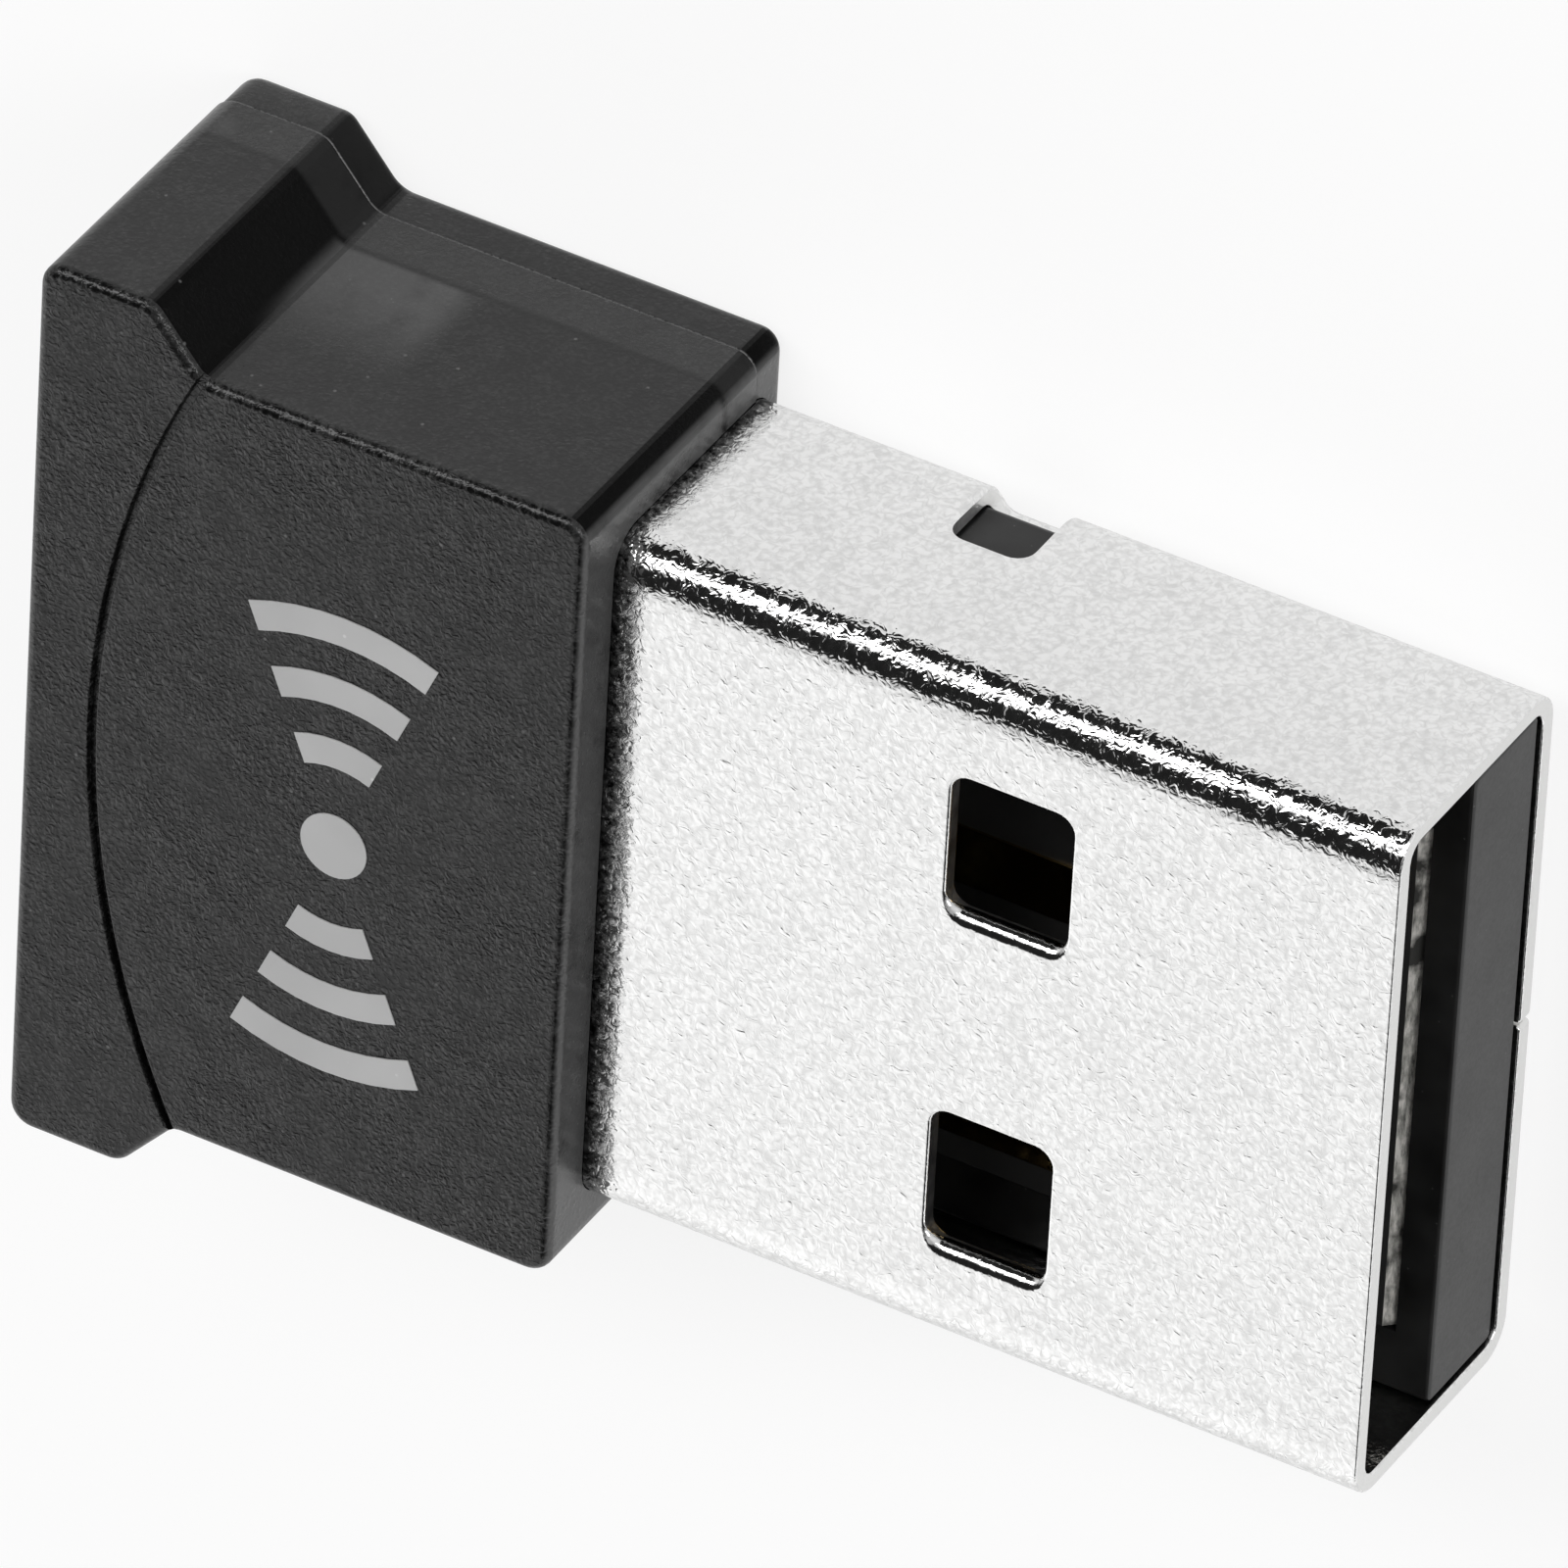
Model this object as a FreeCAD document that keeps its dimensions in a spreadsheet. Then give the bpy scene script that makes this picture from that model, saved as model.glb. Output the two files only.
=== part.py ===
import FreeCAD, Part
import math
import operator
import os
from types import SimpleNamespace

import Sketcher

# A small USB adapter for short-range radio: a folded steel USB-A plug in a smoky plastic cap of
# two shells, with the circuit board that runs from the plug's mouth to an antenna in the grip.
#
# The part lies on its back cover. X points out of the plug's mouth, Y runs across the part and Z
# up to the printed face. X = 0 is half way along, Y = 0 the middle and Z = 0 the back's face.

SIZES = [
    # The steel plug. Its outer size, windows and wall are the USB standard's.
    ("plug_length", 12.8, "plug outside the housing"),
    ("plug_width", 12.0, "outside width of the plug"),
    ("plug_height", 4.5, "outside height of the plug"),
    ("sheet", 0.3, "thickness of the folded steel"),
    ("shell_corner", 0.6, "outside radius of the plug's folds"),
    ("shell_inside", 3.8, "length of the plug held in the housing"),
    ("window_front", 5.2, "from the rim to a window"),
    ("window_length", 2.0, "window along the plug"),
    ("window_width", 2.4, "window across the plug"),
    ("window_pitch", 6.0, "between the middles of two windows"),
    ("window_corner", 0.3, "corner radius of a window"),
    ("notch_front", 7.7, "from the rim to a side notch"),
    ("notch_length", 1.3, "side notch along the plug"),
    ("notch_rise", 1.7, "side notch up the narrow wall"),
    ("notch_depth", 0.5, "side notch into the far wall"),
    ("seam_gap", 0.06, "gap where the sheet's two edges meet"),
    ("lock_front", 6.6, "from the rim to the middle of the seam's dovetail"),
    ("lock_length", 2.2, "wide end of the dovetail"),
    ("lock_neck", 1.4, "neck of the dovetail"),
    ("lock_reach", 1.3, "how far the dovetail reaches across"),
    ("leg_length", 1.2, "solder leg behind the shell"),
    ("leg_rise", 0.4, "solder leg above the board"),
    # The housing's walls round the plug, and its outline.
    ("side_wall", 0.8, "housing beside the plug"),
    ("over_plug", 0.9, "printed face above the plug"),
    ("under_plug", 0.4, "plug above the back's face"),
    ("cover_height", 0.88, "back to the parting line"),
    ("cover_inset", 0.03, "cover drawn in from the housing's outline"),
    ("body_length", 6.35, "front face to the foot of the slopes"),
    ("slope_length", 0.87, "slopes between body and grip"),
    ("grip_length", 1.88, "straight sides of the grip"),
    ("grip_flare", 1.0, "grip wider than the body, on each side"),
    ("plan_corner", 0.4, "corner radius seen from above"),
    ("face_edge", 0.25, "edge radius round the printed face"),
    ("back_edge", 0.28, "edge radius round the back"),
    ("skin", 0.35, "housing left outside the cover's lip"),
    ("lip_height", 0.95, "cover's lip above the parting line"),
    ("stop_height", 0.2, "shoulders behind the shell's end"),
    ("groove_bulge", 1.58, "rise of the curved groove over its chord"),
    ("groove_width", 0.22, "width of the curved groove"),
    ("groove_depth", 0.15, "depth of the curved groove"),
    ("rib_width", 0.5, "ribs that hold the board, across"),
    ("rib_length", 1.5, "ribs that hold the board, along"),
    ("rib_gap", 0.55, "solder legs to the ribs"),
    ("fit_gap", 0.05, "clearance between fitted pieces"),
    # The board and its carrier.
    ("board_thickness", 0.6, "circuit board"),
    ("board_above", 0.05, "board's face above the plug's middle"),
    ("board_setback", 0.7, "from the rim to the board's front edge"),
    ("board_leg_gap", 0.1, "board's edge to the solder legs"),
    ("board_rear_gap", 0.3, "board's rear end to the housing"),
    ("rail_width", 1.1, "carrier's rails beside the board"),
    ("carrier_setback", 0.05, "from the rim to the carrier's end face"),
    ("carrier_tail", 0.4, "shell left behind the carrier"),
    ("finger_width", 1.0, "contact finger, across"),
    ("finger_thickness", 0.05, "contact finger"),
    ("finger_corner", 0.25, "corner radius of a contact finger"),
    ("finger_end", 3.8, "housing's front face to the rear of the fingers"),
    ("power_front", 1.3, "from the rim to the outer two fingers"),
    ("data_front", 2.3, "from the rim to the inner two fingers"),
    ("finger_edge", 0.5, "outer fingers to the board's edge"),
    ("data_pitch", 2.0, "between the inner two fingers"),
    # The parts soldered on the board.
    ("chip_size", 4.0, "radio chip, each way"),
    ("chip_height", 0.8, "radio chip"),
    ("chip_offset", 0.6, "middle line to the chip's middle"),
    ("dimple_radius", 0.25, "pin-one dimple"),
    ("dimple_depth", 0.08, "pin-one dimple"),
    ("dimple_inset", 0.7, "chip's corner to the dimple"),
    ("passive_length", 1.0, "small chip part, long side"),
    ("passive_width", 0.5, "small chip part, short side"),
    ("passive_height", 0.45, "small chip part"),
    ("resistor_pitch", 1.4, "between resistors"),
    ("capacitor_pitch", 1.5, "between capacitors"),
    ("edge_space", 0.6, "board's edge to the parts beside it"),
    ("bead_length", 1.6, "ferrite bead, long side"),
    ("bead_width", 0.8, "ferrite bead, short side"),
    ("bead_height", 0.8, "ferrite bead"),
    ("surge_length", 1.2, "surge protector, long side"),
    ("surge_width", 0.8, "surge protector, short side"),
    ("surge_height", 0.5, "surge protector"),
    ("inductor_length", 2.0, "power inductor, long side"),
    ("inductor_width", 1.2, "power inductor, short side"),
    ("inductor_height", 0.9, "power inductor"),
    ("middle_space", 0.35, "middle line to the crystal and the memory chip"),
    ("crystal_length", 3.2, "crystal, across the board"),
    ("crystal_width", 2.2, "crystal, along the board"),
    ("crystal_base", 0.35, "height of the crystal's base"),
    ("crystal_height", 0.7, "crystal with its lid"),
    ("crystal_margin", 0.25, "crystal's base left round its lid"),
    ("memory_length", 2.4, "memory chip, across the board"),
    ("memory_width", 2.0, "memory chip, along the board"),
    ("memory_height", 0.6, "memory chip"),
    ("lamp_length", 1.6, "status lamp, long side"),
    ("lamp_width", 0.8, "status lamp, short side"),
    ("lamp_base", 0.3, "status lamp's base"),
    ("lamp_height", 0.7, "status lamp with its lens"),
    ("lamp_margin", 0.3, "status lamp's base left at each end"),
    ("antenna_depth", 1.0, "antenna along the board"),
    ("antenna_pitch", 0.7, "between the antenna's bars"),
    ("trace_width", 0.3, "width of the antenna's trace"),
    ("trace_thickness", 0.04, "copper of the antenna"),
    ("solder_height", 0.35, "solder up the leg"),
    ("solder_width", 0.45, "solder on the board"),
    # The print on the upper face: a plain mark of waves on both sides of a dot.
    ("print_place", 3.85, "front face to the middle of the mark"),
    ("print_offset", 0.5, "middle line to the middle of the mark"),
    ("print_dot", 0.55, "radius of the mark's dot"),
    ("print_radius", 1.9, "outer radius of the mark's first arcs"),
    ("print_pitch", 1.1, "between the mark's arcs"),
    ("print_stroke", 0.5, "width of the mark's arcs"),
    ("cut_along", 1.0, "slant of the cut arcs' ends, along the part"),
    ("cut_across", 2.4, "slant of the cut arcs' ends, across the part"),
    ("print_thickness", 0.02, "ink on the face"),
]

RESISTORS = 4
CAPACITORS = 6
ANTENNA_BARS = 12
PRINT_ARCS = 3

ACTIONS = {
    "+": operator.add,
    "-": operator.sub,
    "*": operator.mul,
    "/": operator.truediv,
    "^": operator.pow,
}


class Size:
    """A length that keeps its number and its formula over the sheet's cells together."""

    def __init__(self, number, formula=None):
        self.number = number
        self.formula = formula or str(number)

    def combine(self, sign, other, turned=False):
        other = other if isinstance(other, Size) else Size(other)
        first, second = (other, self) if turned else (self, other)
        number = ACTIONS[sign](first.number, second.number)
        return Size(number, f"({first.formula} {sign} {second.formula})")

    def __add__(self, other):
        return self.combine("+", other)

    def __sub__(self, other):
        return self.combine("-", other)

    def __mul__(self, other):
        return self.combine("*", other)

    def __truediv__(self, other):
        return self.combine("/", other)

    def __pow__(self, other):
        return self.combine("^", other)

    def __rsub__(self, other):
        return self.combine("-", other, turned=True)

    def __rmul__(self, other):
        return self.combine("*", other, turned=True)

    def __neg__(self):
        return 0 - self


doc = FreeCAD.newDocument("usb_radio_adapter")
sheet = doc.addObject("Spreadsheet::Sheet", "Sizes")
s = SimpleNamespace()
for row, (alias, amount, meaning) in enumerate(SIZES, start=1):
    sheet.set(f"A{row}", meaning)
    sheet.set(f"B{row}", str(amount))
    sheet.setAlias(f"B{row}", alias)
    setattr(s, alias, Size(amount, f"Sizes.{alias}"))
doc.recompute()

# Places along X. The part's two ends are equally far from X = 0.
housing_length = s.body_length + s.slope_length + s.grip_length
front = (housing_length - s.plug_length) / 2
rim = front + s.plug_length
foot = front - s.body_length
shoulder = foot - s.slope_length
rear = shoulder - s.grip_length
shell_rear = front - s.shell_inside
wall = s.side_wall - s.fit_gap
board_front = rim - s.board_setback
board_waist = shell_rear - s.fit_gap
board_rear = rear + wall + s.board_rear_gap

# Places across Y, as distances from the middle.
plug_half = s.plug_width / 2
bore_half = plug_half - s.sheet
body_half = plug_half + s.side_wall
grip_half = body_half + s.grip_flare
carrier_half = bore_half - s.fit_gap
tongue_half = carrier_half - s.rail_width - s.fit_gap
board_half = bore_half - s.board_leg_gap

# Places up Z.
plug_low = s.under_plug
plug_high = plug_low + s.plug_height
axis = plug_low + s.plug_height / 2
face = plug_high + s.over_plug
lip_top = s.cover_height + s.lip_height
floor_top = plug_low + s.stop_height
ceiling = plug_high - s.stop_height
board_top = axis + s.board_above
board_under = board_top - s.board_thickness

# The rows of parts share what is left of the board evenly.
row_lengths = [s.bead_length, s.chip_size, s.passive_length, s.crystal_width, s.antenna_depth]
finger_rear = front + s.finger_end
row_space = finger_rear - board_rear
for row_length in row_lengths:
    row_space = row_space - row_length
row_gap = row_space / (len(row_lengths) + 1)
resistor_row = finger_rear - row_gap - s.bead_length / 2
chip_row = resistor_row - s.bead_length / 2 - row_gap - s.chip_size / 2
capacitor_row = chip_row - s.chip_size / 2 - row_gap - s.passive_length / 2
rear_row = capacitor_row - s.passive_length / 2 - row_gap - s.crystal_width / 2
antenna_front = rear_row - s.crystal_width / 2 - row_gap
antenna_rear = antenna_front - s.antenna_depth

nodes = []


def new_body(label):
    """An empty sub-part; its label names its file."""
    body = doc.addObject("PartDesign::Body", label)
    body.Label = label
    body.Placement = FreeCAD.Placement()
    nodes.append(body)
    return body


def new_sketch(body, name, role, height):
    """An empty sketch on one of the body's planes, moved along the plane's normal."""
    sketch = body.newObject("Sketcher::SketchObject", name)
    plane = next(item for item in body.Origin.OriginFeatures if item.Role == role)
    sketch.AttachmentSupport = [(plane, "")]
    sketch.MapMode = "FlatFace"
    sketch.setExpression("AttachmentOffset.Base.z", height.formula)
    return sketch


def fix(sketch, kind, element, point, size):
    """Ties a point's distance from the sketch's origin to a size."""
    constraint = Sketcher.Constraint(kind, -1, 1, element, point, size.number)
    index = sketch.addConstraint(constraint)
    sketch.setExpression(f"Constraints[{index}]", size.formula)


def add_loop(sketch, corners):
    """A closed loop of straight lines through the corners."""
    first = sketch.GeometryCount
    places = [FreeCAD.Vector(u.number, v.number, 0) for u, v in corners]
    for place, following in zip(places, places[1:] + places[:1]):
        sketch.addGeometry(Part.LineSegment(place, following), False)
    for index, (u, v) in enumerate(corners):
        line = first + index
        following = first + (index + 1) % len(corners)
        sketch.addConstraint(Sketcher.Constraint("Coincident", line, 2, following, 1))
        fix(sketch, "DistanceX", line, 1, u)
        fix(sketch, "DistanceY", line, 1, v)


def add_rounded(sketch, left, right, low, high, radius):
    """A rectangle with rounded corners, as four lines that each lead into an arc."""
    first = sketch.GeometryCount
    corners = [(right, low, -1, 1), (right, high, -1, -1), (left, high, 1, -1), (left, low, 1, 1)]
    middles = [FreeCAD.Vector(u.number + inward_u * radius.number, v.number + inward_v * radius.number, 0)
               for u, v, inward_u, inward_v in corners]
    for index, middle in enumerate(middles):
        angle = (index - 1) * math.pi / 2
        spoke = FreeCAD.Vector(radius.number * math.cos(angle), radius.number * math.sin(angle), 0)
        circle = Part.Circle(middle, FreeCAD.Vector(0, 0, 1), radius.number)
        sketch.addGeometry(Part.LineSegment(middles[index - 1] + spoke, middle + spoke), False)
        sketch.addGeometry(Part.ArcOfCircle(circle, angle, angle + math.pi / 2), False)
    for index in range(4):
        line = first + 2 * index
        arc = line + 1
        following = first + (2 * index + 2) % 8
        sketch.addConstraint(Sketcher.Constraint("Tangent", line, 2, arc, 1))
        sketch.addConstraint(Sketcher.Constraint("Tangent", arc, 2, following, 1))
        sketch.addConstraint(Sketcher.Constraint(("Horizontal", "Vertical")[index % 2], line))
        constraint = sketch.addConstraint(Sketcher.Constraint("Radius", arc, radius.number))
        sketch.setExpression(f"Constraints[{constraint}]", radius.formula)
    fix(sketch, "DistanceY", first, 1, low)
    fix(sketch, "DistanceX", first + 2, 1, right)
    fix(sketch, "DistanceY", first + 4, 1, high)
    fix(sketch, "DistanceX", first + 6, 1, left)


def add_circle(sketch, u, v, radius):
    """A circle about a point."""
    centre = FreeCAD.Vector(u.number, v.number, 0)
    circle = sketch.addGeometry(Part.Circle(centre, FreeCAD.Vector(0, 0, 1), radius.number), False)
    fix(sketch, "DistanceX", circle, 3, u)
    fix(sketch, "DistanceY", circle, 3, v)
    constraint = sketch.addConstraint(Sketcher.Constraint("Radius", circle, radius.number))
    sketch.setExpression(f"Constraints[{constraint}]", radius.formula)


def rectangle(left, right, low, high):
    """The corners of a rectangle."""
    return [(left, low), (right, low), (right, high), (left, high)]


def rectangle_about(u, v, length, width):
    """The corners of a rectangle about a point."""
    return rectangle(u - length / 2, u + length / 2, v - width / 2, v + width / 2)


def pad(body, name, sketch, length):
    """Adds the sketch's area to the body, along the sketch's normal."""
    feature = body.newObject("PartDesign::Pad", name)
    feature.Profile = sketch
    feature.setExpression("Length", length.formula)
    doc.recompute()


def pocket(body, name, sketch, length, onward=False):
    """Cuts the sketch's area out of the body, against the sketch's normal or onward along it."""
    before = body.Shape.Volume
    feature = body.newObject("PartDesign::Pocket", name)
    feature.Profile = sketch
    feature.Reversed = onward
    feature.setExpression("Length", length.formula)
    doc.recompute()
    if not body.Shape.Volume < before:
        raise ValueError(f"{body.Label}: {name} cuts nothing")


def blend(body, name, radius, wanted):
    """Rounds the body's edges that pass the test."""
    base = body.Tip
    names = [f"Edge{index}" for index, edge in enumerate(base.Shape.Edges, 1) if wanted(edge)]
    if not names:
        raise ValueError(f"{body.Label}: {name} finds no edge")
    feature = body.newObject("PartDesign::Fillet", name)
    feature.Base = (base, names)
    feature.setExpression("Radius", radius.formula)
    doc.recompute()


TOUCH = 1e-4


def stands_upright(edge):
    """True for a straight edge along Z."""
    return edge.BoundBox.XLength < TOUCH and edge.BoundBox.YLength < TOUCH


def lies_level(edge, height):
    """True for an edge that lies flat at a height."""
    box = edge.BoundBox
    return abs(box.ZMin - height.number) < TOUCH and abs(box.ZMax - height.number) < TOUCH


def tee(inset, front_inset=None):
    """The housing's plan, a body with a wider grip, drawn in by an inset."""
    slant = (s.slope_length ** 2 + s.grip_flare ** 2) ** 0.5
    lean = inset * (slant - s.slope_length) / s.grip_flare
    side = [
        (front - (front_inset or inset), body_half - inset),
        (foot - lean, body_half - inset),
        (shoulder - lean, grip_half - inset),
        (rear + inset, grip_half - inset),
    ]
    return side + [(x, -y) for x, y in reversed(side)]


def cut_tunnel(body):
    """Cuts the way through the front wall in which the plug's shell sits."""
    half = plug_half + s.fit_gap
    sketch = new_sketch(body, f"{body.Label}_tunnel_section", "YZ_Plane", front)
    add_rounded(sketch, -half, half, plug_low - s.fit_gap, plug_high + s.fit_gap, s.shell_corner + s.fit_gap)
    pocket(body, f"{body.Label}_tunnel", sketch, s.shell_inside)


def add_ribs(body, low, high):
    """Two ribs that hold the board near its rear corners."""
    middle = shell_rear - s.leg_length - s.rib_gap - s.rib_length / 2
    side = board_half - s.fit_gap - s.rib_width / 2
    sketch = new_sketch(body, f"{body.Label}_rib_plan", "XY_Plane", low)
    for y in (side, -side):
        add_loop(sketch, rectangle_about(middle, y, s.rib_length, s.rib_width))
    pad(body, f"{body.Label}_ribs", sketch, high - low)


def flat_part(label, x, y, length, width, height):
    """A rectangular part soldered on the board: length along X, width along Y."""
    body = new_body(label)
    sketch = new_sketch(body, f"{label}_plan", "XY_Plane", board_top)
    add_loop(sketch, rectangle_about(x, y, length, width))
    pad(body, f"{label}_solid", sketch, height)
    return body


# Plug shell: a strip of nickel-plated steel folded into a tube, with its seam in the far wall.
shell = new_body("plug_shell")
section = new_sketch(shell, "TubeSection", "YZ_Plane", shell_rear)
add_rounded(section, -plug_half, plug_half, plug_low, plug_high, s.shell_corner)
add_rounded(section, -bore_half, bore_half, plug_low + s.sheet, plug_high - s.sheet, s.shell_corner - s.sheet)
pad(shell, "Tube", section, rim - shell_rear)

window_plan = new_sketch(shell, "WindowPlan", "XY_Plane", face)
for window_side in (s.window_pitch / 2, -(s.window_pitch / 2)):
    add_rounded(window_plan, rim - s.window_front - s.window_length, rim - s.window_front,
                window_side - s.window_width / 2, window_side + s.window_width / 2, s.window_corner)
pocket(shell, "Windows", window_plan, face)

notch_section = new_sketch(shell, "NotchSection", "YZ_Plane", rim - s.notch_front)
for outward in (1, -1):
    add_loop(notch_section, rectangle(outward * (plug_half - s.notch_depth), outward * body_half,
                                      plug_low - s.under_plug, plug_low + s.notch_rise))
pocket(shell, "Notches", notch_section, s.notch_length)

lock = rim - s.lock_front
half_gap = s.seam_gap / 2
seam_plan = new_sketch(shell, "SeamPlan", "XY_Plane", axis)
add_loop(seam_plan, [
    (shell_rear, -half_gap),
    (lock - s.lock_neck / 2 + half_gap, -half_gap),
    (lock - s.lock_length / 2 + half_gap, s.lock_reach - half_gap),
    (lock + s.lock_length / 2 - half_gap, s.lock_reach - half_gap),
    (lock + s.lock_neck / 2 - half_gap, -half_gap),
    (rim, -half_gap),
    (rim, half_gap),
    (lock + s.lock_neck / 2 + half_gap, half_gap),
    (lock + s.lock_length / 2 + half_gap, s.lock_reach + half_gap),
    (lock - s.lock_length / 2 - half_gap, s.lock_reach + half_gap),
    (lock - s.lock_neck / 2 - half_gap, half_gap),
    (shell_rear, half_gap),
])
pocket(shell, "Seam", seam_plan, axis)

leg_section = new_sketch(shell, "LegSection", "YZ_Plane", shell_rear - s.leg_length)
for outward in (1, -1):
    add_loop(leg_section, rectangle(outward * bore_half, outward * plug_half,
                                    board_under, board_top + s.leg_rise))
pad(shell, "Legs", leg_section, s.leg_length)

# Board carrier: a moulded black insert that fills the far half of the plug and cradles the board.
carrier = new_body("board_carrier")
carrier_rear = shell_rear + s.carrier_tail
carrier_low = plug_low + s.sheet + s.fit_gap
block_section = new_sketch(carrier, "BlockSection", "YZ_Plane", carrier_rear)
add_loop(block_section, rectangle(-carrier_half, carrier_half, carrier_low, axis))
pad(carrier, "Block", block_section, rim - s.carrier_setback - carrier_rear)
blend(carrier, "LowerCorners", s.shell_corner - s.sheet,
      lambda edge: edge.BoundBox.YLength < TOUCH and lies_level(edge, carrier_low))
cradle_plan = new_sketch(carrier, "CradlePlan", "XY_Plane", axis)
cradle_half = tongue_half + s.fit_gap
add_loop(cradle_plan, rectangle(carrier_rear, board_front + s.fit_gap, -cradle_half, cradle_half))
pocket(carrier, "Cradle", cradle_plan, axis - board_under)

# Circuit board: one piece of glass laminate, a tongue in the plug and a wider part behind it.
board = new_body("circuit_board")
board_plan = new_sketch(board, "BoardPlan", "XY_Plane", board_under)
board_side = [
    (board_front, tongue_half),
    (board_waist, tongue_half),
    (board_waist, board_half),
    (board_rear, board_half),
]
add_loop(board_plan, board_side + [(x, -y) for x, y in reversed(board_side)])
pad(board, "Board", board_plan, s.board_thickness)

# Contact fingers: gold-plated pads on the board, the outer two nearer the mouth.
power_side = tongue_half - s.finger_edge - s.finger_width / 2
data_side = s.data_pitch / 2
FINGERS = [
    ("vbus_finger", s.power_front, power_side),
    ("data_minus_finger", s.data_front, data_side),
    ("data_plus_finger", s.data_front, -data_side),
    ("ground_finger", s.power_front, -power_side),
]
for finger_label, start, finger_side in FINGERS:
    finger_length = rim - start - finger_rear
    finger = flat_part(finger_label, finger_rear + finger_length / 2, finger_side,
                       finger_length, s.finger_width, s.finger_thickness)
    blend(finger, f"{finger_label}_corners", s.finger_corner, stands_upright)

# Radio chip: a square moulded package with a dimple beside its first pin.
chip = flat_part("radio_chip", chip_row, s.chip_offset, s.chip_size, s.chip_size, s.chip_height)
dimple = new_sketch(chip, "DimplePlan", "XY_Plane", board_top + s.chip_height)
dimple_reach = s.chip_size / 2 - s.dimple_inset
add_circle(dimple, chip_row + dimple_reach, s.chip_offset + dimple_reach, s.dimple_radius)
pocket(chip, "Dimple", dimple, s.dimple_depth)

# Crystal: a ceramic base with a smaller metal lid brazed on it.
crystal_side = -(s.middle_space + s.crystal_length / 2)
crystal = flat_part("crystal", rear_row, crystal_side, s.crystal_width, s.crystal_length, s.crystal_base)
lid = new_sketch(crystal, "LidPlan", "XY_Plane", board_top + s.crystal_base)
lid_width = s.crystal_width - 2 * s.crystal_margin
lid_length = s.crystal_length - 2 * s.crystal_margin
add_loop(lid, rectangle_about(rear_row, crystal_side, lid_width, lid_length))
pad(crystal, "Lid", lid, s.crystal_height - s.crystal_base)

# Status lamp: a white base with a clear lens on its middle.
lamp_side = board_half - s.edge_space - s.lamp_length / 2
lamp = flat_part("status_lamp", rear_row, lamp_side, s.lamp_width, s.lamp_length, s.lamp_base)
lens = new_sketch(lamp, "LensPlan", "XY_Plane", board_top + s.lamp_base)
add_loop(lens, rectangle_about(rear_row, lamp_side, s.lamp_width, s.lamp_length - 2 * s.lamp_margin))
pad(lamp, "Lens", lens, s.lamp_height - s.lamp_base)

# Memory chip, coils and protection: plain packages round the chip.
flat_part("memory_chip", rear_row, s.middle_space + s.memory_length / 2,
          s.memory_width, s.memory_length, s.memory_height)
flat_part("power_inductor", chip_row, s.edge_space + s.inductor_width / 2 - tongue_half,
          s.inductor_length, s.inductor_width, s.inductor_height)
flat_part("ferrite_bead", resistor_row, tongue_half - s.edge_space - s.bead_width / 2,
          s.bead_length, s.bead_width, s.bead_height)
flat_part("surge_protector", resistor_row, s.edge_space + s.surge_width / 2 - tongue_half,
          s.surge_length, s.surge_width, s.surge_height)
last_bar = s.antenna_pitch * (ANTENNA_BARS - 1) / 2
coil_middle = rear_row - s.crystal_width / 2 + s.passive_width / 2
flat_part("matching_coil", coil_middle, last_bar, s.passive_width, s.passive_length, s.passive_height)

# Resistors and capacitors: small ceramic chip parts in rows across the board.
for kind, x, pitch, count in (
        ("resistor", resistor_row, s.resistor_pitch, RESISTORS),
        ("capacitor", capacitor_row, s.capacitor_pitch, CAPACITORS)):
    for index in range(count):
        flat_part(f"{kind}_{index + 1}", x, pitch * (index - (count - 1) / 2),
                  s.passive_length, s.passive_width, s.passive_height)

# Antenna: a folded copper trace at the board's rear end, fed through the matching coil.
antenna = new_body("antenna")
bars = new_sketch(antenna, "BarPlan", "XY_Plane", board_top)
links = new_sketch(antenna, "LinkPlan", "XY_Plane", board_top)
for index in range(ANTENNA_BARS):
    bar = s.antenna_pitch * (index - (ANTENNA_BARS - 1) / 2)
    feed = row_gap if index == ANTENNA_BARS - 1 else Size(0)
    add_loop(bars, rectangle(antenna_rear, antenna_front + feed,
                             bar - s.trace_width / 2, bar + s.trace_width / 2))
    if index % 2 == 0:
        end = antenna_rear
    else:
        end = antenna_front - s.trace_width
    if index < ANTENNA_BARS - 1:
        add_loop(links, rectangle(end, end + s.trace_width, bar, bar + s.antenna_pitch))
pad(antenna, "Bars", bars, s.trace_thickness)
pad(antenna, "Links", links, s.trace_thickness)

# Solder joints: a wedge of solder from the board's face up each leg of the plug.
for joint_label, outward in (("left_solder_joint", 1), ("right_solder_joint", -1)):
    joint = new_body(joint_label)
    wedge = new_sketch(joint, f"{joint_label}_section", "YZ_Plane", shell_rear - s.leg_length + s.fit_gap)
    add_loop(wedge, [
        (outward * bore_half, board_top),
        (outward * bore_half, board_top + s.solder_height),
        (outward * (bore_half - s.solder_width), board_top),
    ])
    pad(joint, f"{joint_label}_solid", wedge, s.leg_length - 2 * s.fit_gap)

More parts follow.
